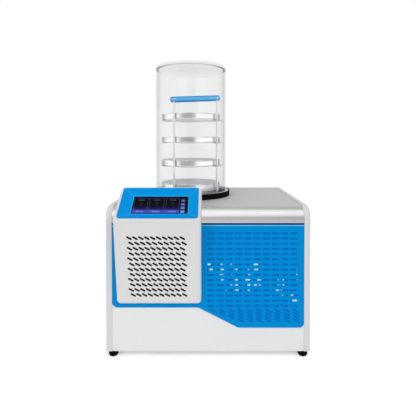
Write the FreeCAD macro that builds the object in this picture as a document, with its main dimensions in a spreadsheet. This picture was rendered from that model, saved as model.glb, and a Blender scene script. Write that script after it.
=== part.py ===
import FreeCAD, Part
import math
import os
import re
import Sketcher

# Bench-top vacuum freeze dryer: a refrigerated cold trap under a clear bell jar.
#
# Frame: +Z up, +X to the right of someone facing the machine, -Y towards them.
# The origin is on the bench, under the middle of the whole machine's box.

MODEL = FreeCAD.newDocument("freeze_dryer")
SHEET = MODEL.addObject("Spreadsheet::Sheet", "dims")

# Driving dimensions in millimetres, angles in degrees.
DIMENSIONS = {
    # cabinet
    "half_width": 300, "cheek": 19, "front_y": -208, "rear_y": 232, "base_z": 16.5, "top_z": 442,
    "cheek_wall": 3, "cheek_corner": 38, "cheek_rear_corner": 12, "cheek_edge": 8,
    "sheet": 1.5, "gap": 0.4, "flange": 15,
    "cover_drop": 2, "cover_bend": 34, "cover_front_z": 394,
    # front grille and the white skirt under it
    "grille_thick": 2, "grille_top_z": 392, "grille_low_z": 86.4, "grille_step_z": 146,
    "step_left_x": -28.6, "step_right_x": 88, "grille_lap": 8, "rail_drop": 30, "rail_deep": 20,
    "slot_length": 20.6, "slot_height": 4.8, "slot_pitch_x": 26.9, "slot_pitch_z": 15.2,
    "slot_first_x": 8.4, "slot_low_z": 151.2, "slot_columns": 10, "slot_rows": 15,
    "slant": 30, "slant_length": 22, "slant_height": 4, "slant_pitch_z": 9.4, "slant_top_z": 136.6,
    "slant_shift_x": 6.5, "slant_rows": 4, "filter_lap": 20, "filter_thick": 1.2,
    # console
    "console_left_x": -265, "console_right_x": -19.5, "console_low_z": 160.5, "console_low_y": -218,
    "crease_y": -260.9, "crease_z": 416.4, "ridge_y": -153.2, "ridge_z": 494.6,
    "console_foot_y": -114, "console_wall": 3, "console_edge": 8, "crease_bend": 5, "ridge_bend": 9,
    "vent_length": 17.4, "vent_height": 5.2, "vent_pitch_x": 16.5, "vent_pitch_z": 15.65,
    "vent_first_x": -218, "vent_top_z": 362, "vent_stagger": 2.4, "vent_columns": 10, "vent_rows": 12,
    # bezel and screen, on the console's sloping face: x across, up the slope from the crease
    "bezel_left_x": -255, "bezel_right_x": -27.8, "bezel_low": 3.4, "bezel_high": 123.5,
    "bezel_corner": 9, "bezel_proud": 2.5, "bezel_deep": 7, "bezel_rim": 4,
    "screen_left_x": -219.6, "screen_right_x": -57.8, "screen_low": 25, "screen_high": 93.5,
    "screen_thick": 3, "board_thick": 1.6, "board_off": 3, "board_inset": 18, "board_edge": 3,
    # cold trap and bell jar, all on one upright axis
    "jar_x": -62, "jar_y": 43, "jar_radius": 125, "jar_wall": 7, "jar_top_z": 898, "jar_lid": 12,
    "jar_foot_z": 456, "seal_radius": 139.3, "seal_inner": 117, "seal_high": 15,
    "ring_outer": 136, "ring_high": 3.2, "trap_radius": 92, "trap_wall": 1.5, "trap_floor_z": 262,
    "trap_flange": 136.5, "jacket_radius": 101, "jacket_low_z": 276, "jacket_high_z": 372,
    "foam_inner": 105, "foam_outer": 131, "foam_low_z": 236, "foam_high_z": 436,
    # drying rack
    "tray_radius": 102, "tray_high": 21, "tray_wall": 1, "tray_first_z": 466, "tray_pitch": 80.5,
    "tray_count": 4, "shelf_sheet": 1.5, "shelf_inner": 84, "shelf_outer": 103.4,
    "lug_width": 12, "lug_turn": 14, "rod_radius": 4,
    "rod_left_x": -52.2, "rod_left_y": -93, "rod_right_x": 92.6, "rod_right_y": -55,
    "rack_foot_inner": 95, "rack_foot_outer": 112.5, "rack_foot": 3, "handle_z": 776.9,
    "handle_tilt": 3.6, "handle_radius": 10.1, "handle_over": 12.6, "rod_in_handle": 3,
    "handle_shift": 1.2, "handle_inset": 3,
    # feet
    "foot_radius": 15, "foot_toe": 12, "foot_side": 20, "foot_front": 14, "foot_rear": 30,
    # refrigeration
    "condenser_left_x": -8, "condenser_right_x": 272, "condenser_low_z": 85, "condenser_high_z": 382,
    "condenser_front_y": -199, "condenser_deep": 34, "tube_radius": 4.8, "tube_rows": 8,
    "tube_end": 16, "tube_margin": 25, "tube_turn": 11.5, "fin_pitch": 6, "fin_gap": 1.2,
    "fin_groove": 5,
    "fan_x": 132, "fan_z": 233, "fan_radius": 112, "fan_hub": 24, "fan_pitch": 32, "fan_blades": 5,
    "fan_y": -140, "hub_deep": 22, "blade_root": 44, "blade_tip": 84, "blade_thick": 2.2,
    "shroud_y": -162, "shroud_deep": 42, "shroud_clear": 6, "strut_x": 22, "strut_width": 14,
    "fan_shaft": 4, "motor_radius": 34, "motor_deep": 48, "turning_gap": 0.05,
    "compressor_x": 188, "compressor_y": 106, "compressor_radius": 72, "compressor_high": 176,
    "compressor_foot_z": 33.5, "shell_radius": 68, "seam_z": 96.8, "seam_high": 8, "shell_foot": 4,
    "foot_lap": 8, "grommet_radius": 9, "grommet_hole": 5,
    "line_radius": 4, "capillary_radius": 3, "line_bend": 6, "line_clear": 12, "line_lap": 3,
    "shell_port_z": 160.3, "jacket_port": 40, "jacket_port_z": 306,
    "drier_x": -34, "drier_y": -110, "drier_long": 108, "drier_radius": 11, "drier_neck": 4.5,
    # mains fittings: a supply box, and the inlet, switch and fuse in one row on the rear panel
    "supply_left_x": -269, "supply_wide": 65, "supply_front_y": -178, "supply_deep": 120,
    "supply_high": 130,
    "inlet_x": 206, "inlet_z": 92, "inlet_half": 14, "inlet_half_high": 12, "inlet_flange": 3,
    "inlet_flange_half": 25, "inlet_flange_high": 15, "inlet_deep": 24, "socket_half": 12,
    "socket_half_high": 8.5, "socket_chamfer": 5, "socket_deep": 17, "pin_pitch": 7, "pin_rise": 2,
    "pin_half": 1, "pin_long": 16,
    "switch_x": 150, "switch_half": 6, "switch_half_high": 9, "switch_rim": 1.5, "switch_proud": 2,
    "switch_deep": 16, "well_half": 4.8, "well_half_high": 8.2, "well_deep": 12,
    "rocker_wide": 9, "rocker_half": 6.4, "rocker_up": 4.2, "rocker_down": 1.6, "rocker_heel": 7,
    "pivot_radius": 1.2, "pivot_deep": 1.5, "pivot_long": 11.6,
    "fuse_x": 112, "fuse_radius": 7, "fuse_cap": 9, "fuse_proud": 8, "fuse_deep": 30,
    "screw_head": 4, "screw_proud": 2.4, "screw_inset": 12, "screw_low": 14, "screw_high": 34,
    # vacuum and drain fittings on the rear panel
    "rear_most_y": 260,
    "port_z": 398, "port_bore": 12.5, "port_wall": 1.5, "port_flange": 20, "port_flange_thick": 4,
    "port_throat": 11.5, "port_throat_long": 16, "port_start_y": 132,
    "gauge_y": 198, "gauge_radius": 15, "gauge_neck": 6, "gauge_high": 46, "gauge_foot": 80,
    "vent_valve_x": -150, "valve_radius": 7, "valve_collar": 10, "valve_deep": 22,
    "valve_collar_deep": 6, "valve_stem": 3, "knob_radius": 11, "knob_deep": 12, "knob_gap": 0.5,
    "scallop_radius": 3, "scallop_centre": 12.5, "scallops": 8, "vent_run": 14,
    "drain_z": 70, "drain_radius": 5, "drain_wall": 1, "drain_bend": 20, "drain_body": 11,
    "drain_body_deep": 20, "drain_body_out": 14, "barb_radius": 6, "barb_bore": 4, "stem_y": 7,
    "stem_radius": 3.5, "stem_top": 20, "lever_z": 15, "lever_hub": 7, "lever_hub_high": 8,
    "lever_long": 46, "lever_half": 4, "lever_lift": 3, "lever_thick": 4,
    "louvre_x": 95, "louvre_z": 190, "louvre_length": 56, "louvre_height": 5,
    "louvre_pitch_x": 74, "louvre_pitch_z": 13, "louvre_columns": 3, "louvre_rows": 15,
}


def fill_sheet():
    """Put each driving dimension in the sheet: its name in column A, its value in column B."""
    for row, (alias, size) in enumerate(DIMENSIONS.items(), start=1):
        SHEET.set(f"A{row}", alias)
        SHEET.set(f"B{row}", str(size))
        SHEET.setAlias(f"B{row}", alias)
    MODEL.recompute()


def sized(expression):
    """The expression with the sheet's name before each of its aliases."""
    def named(word):
        return "dims." + word.group() if word.group() in DIMENSIONS else word.group()
    return re.sub(r"[a-z]\w*", named, str(expression))


def mm(expression):
    """The number that an expression on the sheet comes to now."""
    return float(SHEET.evalExpression(sized(expression)))


def bind(thing, **sizes):
    """Tie properties of an object to expressions; a double underscore stands for a dot."""
    for name, expression in sizes.items():
        thing.setExpression(name.replace("__", "."), sized(expression))


def place(thing, across="0", deep="0", high="0"):
    """Bind where an object stands."""
    bind(thing, Placement__Base__x=across, Placement__Base__y=deep, Placement__Base__z=high)
    return thing


# ---------------------------------------------------------------------------------------------
# Sketches


def sketch_on(body, role, offset="0", tilt=None):
    """A sketch on one of the body's own origin planes, moved along its normal.

    tilt = (angle, x, y, z) turns it about the X axis through that point instead.
    """
    sketch = body.newObject("Sketcher::SketchObject", body.Name + "_sketch")
    plane = [item for item in body.Origin.OriginFeatures if item.Role == role][0]
    sketch.AttachmentSupport = [(plane, "")]
    sketch.MapMode = "FlatFace"
    if tilt is None:
        bind(sketch, AttachmentOffset__Base__z=offset)
    else:
        angle, across, deep, high = tilt
        turn = FreeCAD.Rotation(FreeCAD.Vector(1, 0, 0), mm(angle))
        sketch.AttachmentOffset = FreeCAD.Placement(FreeCAD.Vector(0, 0, 0), turn)
        bind(sketch, AttachmentOffset__Base__x=across, AttachmentOffset__Base__y=deep,
             AttachmentOffset__Base__z=high, AttachmentOffset__Rotation__Angle=angle)
    return sketch


def pin_point(sketch, geometry, end, across, up):
    """Fix one point of a sketch at a place bound to the sheet."""
    for kind, expression in (("DistanceX", across), ("DistanceY", up)):
        number = sketch.addConstraint(
            Sketcher.Constraint(kind, -1, 1, geometry, end, mm(expression)))
        sketch.setExpression(f"Constraints[{number}]", sized(expression))


def set_radius(sketch, geometry, radius):
    number = sketch.addConstraint(Sketcher.Constraint("Radius", geometry, mm(radius)))
    sketch.setExpression(f"Constraints[{number}]", sized(radius))


def outline(sketch, corners):
    """A closed outline of straight sides. A corner is (across, up) or (across, up, radius)."""
    points = [FreeCAD.Vector(mm(corner[0]), mm(corner[1]), 0) for corner in corners]
    radii = [mm(corner[2]) if len(corner) > 2 else 0.0 for corner in corners]
    count = len(points)
    arrive, leave, centres = [], [], []
    for index, point in enumerate(points):
        before = (points[index - 1] - point).normalize()
        after = (points[(index + 1) % count] - point).normalize()
        half = before.getAngle(after) / 2
        run = radii[index] / math.tan(half)
        arrive.append(point + before * run)
        leave.append(point + after * run)
        middle = (before + after).normalize() if radii[index] else FreeCAD.Vector()
        centres.append(point + middle * (radii[index] / math.sin(half)))
    sides = [sketch.addGeometry(Part.LineSegment(leave[i], arrive[(i + 1) % count]), False)
             for i in range(count)]
    for index, corner in enumerate(corners):
        into, out = sides[index - 1], sides[index]
        if not radii[index]:
            sketch.addConstraint(Sketcher.Constraint("Coincident", into, 2, out, 1))
            pin_point(sketch, out, 1, corner[0], corner[1])
            continue
        first, last = arrive[index] - centres[index], leave[index] - centres[index]
        left_turn = first.cross(last).z > 0
        start, end = (first, last) if left_turn else (last, first)
        circle = Part.Circle(centres[index], FreeCAD.Vector(0, 0, 1), radii[index])
        arc = sketch.addGeometry(Part.ArcOfCircle(
            circle, math.atan2(start.y, start.x), math.atan2(end.y, end.x)), False)
        vertex = sketch.addGeometry(Part.Point(points[index]), True)
        sketch.addConstraint(Sketcher.Constraint("PointOnObject", vertex, 1, into))
        sketch.addConstraint(Sketcher.Constraint("PointOnObject", vertex, 1, out))
        sketch.addConstraint(Sketcher.Constraint("Tangent", into, 2, arc, 1 if left_turn else 2))
        sketch.addConstraint(Sketcher.Constraint("Tangent", out, 1, arc, 2 if left_turn else 1))
        set_radius(sketch, arc, corner[2])
        pin_point(sketch, vertex, 1, corner[0], corner[1])
    return sketch


def circle(sketch, across, up, radius):
    number = sketch.addGeometry(Part.Circle(FreeCAD.Vector(mm(across), mm(up), 0),
                                            FreeCAD.Vector(0, 0, 1), mm(radius)), False)
    pin_point(sketch, number, 3, across, up)
    set_radius(sketch, number, radius)
    return sketch


def box_corners(left, low, right, high, radius=None):
    corners = [(left, low), (right, low), (right, high), (left, high)]
    return [corner + (radius,) for corner in corners] if radius else corners


def slot(sketch, across, up, length, height, angle="0"):
    """A round-ended slot centred on a point and turned by an angle."""
    reach, radius = f"(({length}) - ({height})) / 2", f"({height}) / 2"
    along = FreeCAD.Vector(math.cos(math.radians(mm(angle))), math.sin(math.radians(mm(angle))), 0)
    over = FreeCAD.Vector(-along.y, along.x, 0) * mm(radius)
    middle = FreeCAD.Vector(mm(across), mm(up), 0)
    first, last = middle - along * mm(reach), middle + along * mm(reach)
    aim = math.radians(mm(angle))
    quarter = math.pi / 2
    up_axis = FreeCAD.Vector(0, 0, 1)
    low = sketch.addGeometry(Part.LineSegment(first - over, last - over), False)
    right = sketch.addGeometry(Part.ArcOfCircle(
        Part.Circle(last, up_axis, mm(radius)), aim - quarter, aim + quarter), False)
    high = sketch.addGeometry(Part.LineSegment(last + over, first + over), False)
    left = sketch.addGeometry(Part.ArcOfCircle(
        Part.Circle(first, up_axis, mm(radius)), aim + quarter, aim + 3 * quarter), False)
    for before, after in ((low, right), (right, high), (high, left), (left, low)):
        sketch.addConstraint(Sketcher.Constraint("Tangent", before, 2, after, 1))
    for arc, sign in ((left, "-"), (right, "+")):
        pin_point(sketch, arc, 3, f"({across}) {sign} ({reach}) * cos({angle})",
                  f"({up}) {sign} ({reach}) * sin({angle})")
        set_radius(sketch, arc, radius)
    return sketch


# ---------------------------------------------------------------------------------------------
# Features

SUB_PARTS = []


def new_body(label):
    body = MODEL.addObject("PartDesign::Body", label)
    body.Label = label
    SUB_PARTS.append(body)
    return body


def pad(body, sketch, length, back=False, both=False):
    feature = body.newObject("PartDesign::Pad", body.Name + "_pad")
    feature.Profile = sketch
    feature.Reversed = back
    feature.Midplane = both
    bind(feature, Length=length)
    MODEL.recompute()
    return feature


def cut(body, sketch, length, back=False, both=False):
    """A pocket, which has to take material away."""
    before = body.Shape.Volume
    feature = body.newObject("PartDesign::Pocket", body.Name + "_pocket")
    feature.Profile = sketch
    feature.Reversed = back
    feature.Midplane = both
    bind(feature, Length=length)
    MODEL.recompute()
    if body.Shape.Volume >= before - 1e-3:
        raise RuntimeError(f"{feature.Label} cuts nothing")
    return feature


def grid(body, feature, sketch, columns, pitch_across, rows, pitch_up):
    """Repeat a feature in columns and rows along its sketch's axes."""
    pattern = body.newObject("PartDesign::LinearPattern", body.Name + "_grid")
    pattern.Originals = [feature]
    pattern.Direction = (sketch, ["H_Axis"])
    pattern.Direction2 = (sketch, ["V_Axis"])
    bind(pattern, Length=f"({pitch_across}) * (({columns}) - 1)", Occurrences=columns,
         Length2=f"({pitch_up}) * (({rows}) - 1)", Occurrences2=rows)
    body.Tip = pattern
    MODEL.recompute()
    return pattern


def turn(body, corners, role="XZ_Plane"):
    """Revolve an outline of (radius, height) corners about the body's upright axis."""
    sketch = outline(sketch_on(body, role), corners)
    feature = body.newObject("PartDesign::Revolution", body.Name + "_turn")
    feature.Profile = sketch
    feature.ReferenceAxis = (sketch, ["V_Axis"])
    feature.Angle = 360
    MODEL.recompute()
    return feature


def round_edges(body, radius, chosen):
    """Fillet the edges of the body that a test picks."""
    names = [f"Edge{number}" for number, edge in enumerate(body.Shape.Edges, start=1)
             if chosen(edge)]
    base = body.Tip
    feature = body.newObject("PartDesign::Fillet", body.Name + "_fillet")
    feature.Base = (base, names)
    bind(feature, Radius=radius)
    MODEL.recompute()
    return feature


def near(a, b):
    return abs(a - b) < 1e-3


def block(label, left, front, low, right, rear, high):
    """A plain box between two corners."""
    body = new_body(label)
    sketch = outline(sketch_on(body, "XY_Plane", low), box_corners(left, front, right, rear))
    pad(body, sketch, f"({high}) - ({low})")
    return body


def group(label, pieces):
    """Several separate solids in one sub-part."""
    compound = MODEL.addObject("Part::Compound", label)
    compound.Label = label
    compound.Links = pieces
    SUB_PARTS.append(compound)
    MODEL.recompute()
    return compound


def shaped(label, shape):
    """A sub-part whose form is worked out by this file's own code."""
    feature = MODEL.addObject("Part::Feature", label)
    feature.Label = label
    feature.Shape = shape
    SUB_PARTS.append(feature)
    return feature


def tube_along(route, radius, bend):
    """A round solid along straight runs joined by tangent arcs of one bend radius."""
    points = [FreeCAD.Vector(*point) for point in route]
    edges, start = [], points[0]
    for before, corner, after in zip(points, points[1:], points[2:]):
        into = (before - corner).normalize()
        out = (after - corner).normalize()
        half = into.getAngle(out) / 2
        run = bend / math.tan(half)
        first, last = corner + into * run, corner + out * run
        centre = corner + (into + out).normalize() * (bend / math.sin(half))
        middle = centre + (corner - centre).normalize() * bend
        edges += [Part.LineSegment(start, first).toShape(), Part.Arc(first, middle, last).toShape()]
        start = last
    edges.append(Part.LineSegment(start, points[-1]).toShape())
    path = Part.Wire(edges)
    ring = Part.Wire(Part.makeCircle(radius, points[0], points[1] - points[0]))
    solid = path.makePipeShell([ring], True, True)
    expected = math.pi * radius ** 2 * path.Length
    if abs(solid.Volume - expected) > 0.01 * expected:
        raise RuntimeError("a tube's volume isn't its section times its length")
    return solid


# ---------------------------------------------------------------------------------------------
# Cabinet


def side_panel(label, side):
    """A deep moulded cheek, open towards the cabinet; its outer edge is well rounded."""
    body = new_body(label)
    offset = f"({side}) * (half_width - cheek)"
    profile = [("front_y", "base_z"), ("rear_y", "base_z"), ("rear_y", "top_z", "cheek_rear_corner"),
               ("front_y", "top_z", "cheek_corner")]
    pad(body, outline(sketch_on(body, "YZ_Plane", offset), profile), "cheek", back=side < 0)
    outer = side * mm("half_width")
    round_edges(body, "cheek_edge", lambda edge: all(
        near(vertex.X, outer) for vertex in edge.Vertexes)
        and not all(near(vertex.Z, mm("base_z")) for vertex in edge.Vertexes))
    inner = [("front_y + cheek_wall", "base_z + cheek_wall"),
             ("rear_y - cheek_wall", "base_z + cheek_wall"),
             ("rear_y - cheek_wall", "top_z - cheek_wall", "cheek_rear_corner - cheek_wall"),
             ("front_y + cheek_wall", "top_z - cheek_wall", "cheek_corner - cheek_wall")]
    cut(body, outline(sketch_on(body, "YZ_Plane", offset), inner), "cheek - cheek_wall",
        back=side > 0)


def base_pan():
    """The steel tray that carries everything, with upturned front and rear flanges."""
    body = new_body("base_pan")
    front, rear = "front_y + cheek_wall + gap", "rear_y - cheek_wall - gap"
    profile = [(front, "base_z"), (rear, "base_z"), (rear, "base_z + flange"),
               (f"{rear} - sheet", "base_z + flange"), (f"{rear} - sheet", "base_z + sheet"),
               (f"{front} + sheet", "base_z + sheet"), (f"{front} + sheet", "base_z + flange"),
               (front, "base_z + flange")]
    pad(body, outline(sketch_on(body, "YZ_Plane"), profile),
        "2 * (half_width - cheek - gap)", both=True)


def top_cover():
    """The steel cover between the cheeks: flat, rolled down at the front, holed for the trap."""
    body = new_body("steel_top_cover")
    high, rear = "top_z - cover_drop", "rear_y - sheet - gap"
    profile = [("front_y", "cover_front_z"), ("front_y", high, "cover_bend"), (rear, high, "3"),
               (rear, f"{high} - flange"), (f"{rear} - sheet", f"{high} - flange"),
               (f"{rear} - sheet", f"{high} - sheet", "1.5"),
               ("front_y + sheet", f"{high} - sheet", "cover_bend - sheet"),
               ("front_y + sheet", "cover_front_z")]
    pad(body, outline(sketch_on(body, "YZ_Plane"), profile),
        "2 * (half_width - cheek - gap)", both=True)
    hole = circle(sketch_on(body, "XY_Plane", high), "jar_x", "jar_y",
                  "trap_radius + trap_wall + 1")
    cut(body, hole, "2 * sheet", both=True)


def front_skirt():
    """The white panel below the grille; its upper edge steps down behind the grille's."""
    body = new_body("front_skirt")
    side = "half_width - cheek - gap"
    profile = [(f"-({side})", "base_z"), (side, "base_z"), (side, "grille_low_z + grille_lap"),
               ("step_right_x", "grille_low_z + grille_lap"),
               ("step_left_x", "grille_step_z + grille_lap"),
               (f"-({side})", "grille_step_z + grille_lap")]
    pad(body, outline(sketch_on(body, "XZ_Plane", "-(front_y + sheet)"), profile), "sheet",
        back=True)


def front_grille():
    """The blue slotted panel, with rows of level slots and slanted ones along its lower edge."""
    body = new_body("front_grille")
    side = "half_width - cheek - gap"
    face = "-(front_y - gap)"
    profile = [(f"-({side})", "grille_step_z", "16"), ("step_left_x", "grille_step_z", "30"),
               ("step_right_x", "grille_low_z", "24"), (side, "grille_low_z", "14"),
               (side, "grille_top_z", "3"), (f"-({side})", "grille_top_z", "3")]
    pad(body, outline(sketch_on(body, "XZ_Plane", face), profile), "grille_thick - gap / 2",
        back=True)
    for row in range(int(mm("slant_rows"))):
        slanted = slot(sketch_on(body, "XZ_Plane", face),
                       f"slot_first_x + slant_shift_x + {row} * slot_pitch_x",
                       f"slant_top_z - {row} * slant_pitch_z", "slant_length", "slant_height",
                       "-slant")
        grid(body, cut(body, slanted, "grille_thick + 1"), slanted,
             f"slot_columns - {row}", "slot_pitch_x", "1", "0")
    level = slot(sketch_on(body, "XZ_Plane", face), "slot_first_x", "slot_low_z", "slot_length",
                 "slot_height")
    grid(body, cut(body, level, "grille_thick + 1"), level,
         "slot_columns", "slot_pitch_x", "slot_rows", "slot_pitch_z")


def dust_filter():
    """The filter sheet clipped behind the slots, clear of the skirt's stepped edge."""
    body = new_body("dust_filter")
    left = "(slot_first_x - filter_lap)"
    right = "slot_first_x + (slot_columns - 1) * slot_pitch_x + filter_lap"
    fall = "(grille_step_z - grille_low_z) / (step_right_x - step_left_x)"
    clear = "grille_lap + 2 * gap"
    profile = [(left, f"grille_step_z + {clear} - ({left} - step_left_x) * {fall}"),
               ("step_right_x", f"grille_low_z + {clear}"), (right, f"grille_low_z + {clear}"),
               (right, "grille_top_z - filter_lap / 2"), (left, "grille_top_z - filter_lap / 2")]
    pad(body, outline(sketch_on(body, "XZ_Plane", "-(front_y + sheet)"), profile),
        "filter_thick", back=True)


def rear_panel():
    """The back, with exhaust louvres and the openings for its fittings."""
    body = new_body("rear_panel")
    side = "half_width - cheek - gap"
    inside = "-(rear_y - sheet)"
    profile = box_corners(f"-({side})", "base_z + gap", side, "top_z - cover_drop - gap")
    pad(body, outline(sketch_on(body, "XZ_Plane", inside), profile), "sheet", back=True)
    louvre = slot(sketch_on(body, "XZ_Plane", inside), "louvre_x", "louvre_z", "louvre_length",
                  "louvre_height")
    grid(body, cut(body, louvre, "2 * sheet"), louvre, "louvre_columns", "louvre_pitch_x",
         "louvre_rows", "louvre_pitch_z")
    fittings = sketch_on(body, "XZ_Plane", inside)
    circle(fittings, "jar_x", "port_z", "port_bore + port_wall + gap")
    circle(fittings, "vent_valve_x", "port_z", "valve_radius + gap")
    circle(fittings, "jar_x", "drain_z", "drain_body + gap")
    circle(fittings, "fuse_x", "inlet_z", "fuse_radius + gap")
    for across, half, half_high in (("inlet_x", "inlet_half", "inlet_half_high"),
                                    ("switch_x", "switch_half", "switch_half_high")):
        outline(fittings, middle_box(across, f"{half} + gap / 2", f"{half_high} + gap / 2"))
    cut(body, fittings, "2 * sheet")


def cross_member():
    """The folded rail behind the grille's top edge, which the cover's front lip hooks over."""
    body = new_body("cross_member")
    face, low, high = "front_y + 3 * sheet", "grille_top_z - rail_drop", "grille_top_z + grille_lap"
    profile = [(face, low), (f"{face} + sheet", low), (f"{face} + sheet", f"{high} - sheet"),
               ("front_y + rail_deep", f"{high} - sheet"), ("front_y + rail_deep", high),
               (face, high)]
    pad(body, outline(sketch_on(body, "YZ_Plane"), profile),
        "2 * (half_width - cheek - gap)", both=True)


def rubber_feet():
    """Four moulded feet, tapered to a rounded toe, in one file."""
    body = MODEL.addObject("PartDesign::Body", "one_foot")
    turn(body, [("0", "0"), ("foot_toe", "0", "2"), ("foot_radius - 0.5", "5.5", "3"),
                ("foot_radius", "base_z"), ("0", "base_z")])
    reach = "half_width - foot_side"
    feet = []
    for across in (f"-({reach})", reach):
        for deep in ("front_y + foot_front", "rear_y - foot_rear"):
            foot = MODEL.addObject("Part::Feature", "foot")
            foot.Shape = body.Shape
            place(foot, across, deep)
            feet.append(foot)
    group("rubber_feet", feet)


# ---------------------------------------------------------------------------------------------
# Console


SLOPE = "atan((ridge_z - crease_z) / (ridge_y - crease_y))"


def on_slope(thing, depth="0"):
    """Stand a sub-part, drawn lying flat, on the console's sloping face."""
    thing.Placement = FreeCAD.Placement(FreeCAD.Vector(), FreeCAD.Vector(1, 0, 0), mm(SLOPE))
    bind(thing, Placement__Base__y=f"crease_y - ({depth}) * sin({SLOPE})",
         Placement__Base__z=f"crease_z + ({depth}) * cos({SLOPE})", Placement__Rotation__Angle=SLOPE)
    return thing


def console_shell():
    """The moulded console: it leans out to a crease, then slopes back to a ridge. Open behind."""
    body = new_body("console_shell")
    back, top = "front_y - 2 * gap", "top_z - cover_drop + gap"
    profile = [("console_low_y", "console_low_z"), (back, "console_low_z"), (back, top, "cover_bend"),
               ("console_foot_y", top), ("ridge_y", "ridge_z", "ridge_bend"),
               ("crease_y", "crease_z", "crease_bend")]
    pad(body, outline(sketch_on(body, "YZ_Plane", "console_left_x"), profile),
        "console_right_x - console_left_x")
    round_edges(body, "console_edge", lambda edge: all(
        near(vertex.Z, mm("console_low_z")) for vertex in edge.Vertexes)
        and near(edge.Vertexes[0].X, edge.Vertexes[1].X))
    hollow = [("console_low_y + 2 * console_wall", "console_low_z + console_wall"),
              ("rear_y", "console_low_z + console_wall"), ("rear_y", "top_z - 2 * cover_drop"),
              ("console_foot_y - 3 * console_wall", "top_z - 2 * cover_drop"),
              ("ridge_y - console_wall / 2", "ridge_z - 1.4 * console_wall", "console_wall"),
              ("crease_y + 1.3 * console_wall", "crease_z - console_wall / 2", "console_wall")]
    cut(body, outline(sketch_on(body, "YZ_Plane", "(console_left_x + console_right_x) / 2"), hollow),
        "console_right_x - console_left_x - 2 * console_wall", both=True)
    window = sketch_on(body, "XY_Plane", tilt=(SLOPE, "0", "crease_y", "crease_z"))
    outline(window, box_corners("bezel_left_x + bezel_rim", "bezel_low + bezel_rim",
                                "bezel_right_x - bezel_rim", "bezel_high - bezel_rim"))
    cut(body, window, "2 * console_wall")
    for row, stagger in ((0, "-vent_stagger"), (1, "vent_stagger")):
        vent = slot(sketch_on(body, "XZ_Plane", "-crease_y"), f"vent_first_x + {stagger}",
                    f"vent_top_z - {row} * vent_pitch_z - 10 * vent_pitch_z",
                    "vent_length", "vent_height", "-slant")
        grid(body, cut(body, vent, "front_y - crease_y + 5"), vent, "vent_columns", "vent_pitch_x",
             "vent_rows / 2", "2 * vent_pitch_z")


def screen_bezel():
    """The blue frame: a raised rim, with faces that slope down to the screen on all four sides."""
    body = new_body("screen_bezel")
    rim = box_corners("bezel_left_x", "bezel_low", "bezel_right_x", "bezel_high", "bezel_corner")
    pad(body, outline(sketch_on(body, "XY_Plane", "gap"), rim), "bezel_proud")
    inner = box_corners("bezel_left_x + bezel_rim + gap", "bezel_low + bezel_rim + gap",
                        "bezel_right_x - bezel_rim - gap", "bezel_high - bezel_rim - gap")
    pad(body, outline(sketch_on(body, "XY_Plane", "gap"), inner), "bezel_deep + gap", back=True)
    face = outline(sketch_on(body, "XY_Plane", "bezel_proud + gap"), inner)
    window = box_corners("screen_left_x", "screen_low", "screen_right_x", "screen_high")
    low = outline(sketch_on(body, "XY_Plane", "-bezel_deep + screen_thick"), window)
    funnel = body.newObject("PartDesign::SubtractiveLoft", "screen_bezel_funnel")
    funnel.Profile = face
    funnel.Sections = [low]
    funnel.Ruled = True
    MODEL.recompute()
    cut(body, outline(sketch_on(body, "XY_Plane", "bezel_proud"), window), "2 * bezel_deep")
    on_slope(body)


def touch_screen():
    body = new_body("touch_screen")
    glass = box_corners("screen_left_x + gap", "screen_low + gap", "screen_right_x - gap",
                        "screen_high - gap")
    pad(body, outline(sketch_on(body, "XY_Plane", "-bezel_deep"), glass), "screen_thick - gap")
    on_slope(body)


def boards():
    """The board behind the screen and the control board standing in the console."""
    display = new_body("display_board")
    edge = box_corners("screen_left_x - board_edge", "screen_low - board_edge",
                       "screen_right_x + board_edge", "screen_high + board_edge")
    pad(display, outline(sketch_on(display, "XY_Plane", "-bezel_deep - gap"), edge), "board_thick",
        back=True)
    on_slope(display)
    control = new_body("control_board")
    area = box_corners("console_left_x + board_inset", "console_low_z + 4 * board_off",
                       "console_right_x - board_inset", "crease_z - 2 * board_inset")
    pad(control, outline(sketch_on(control, "XZ_Plane", "-(front_y - board_off)"), area),
        "board_thick")


# ---------------------------------------------------------------------------------------------
# Cold trap and bell jar


def on_jar_axis(body, high="0"):
    return place(body, "jar_x", "jar_y", high)


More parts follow.
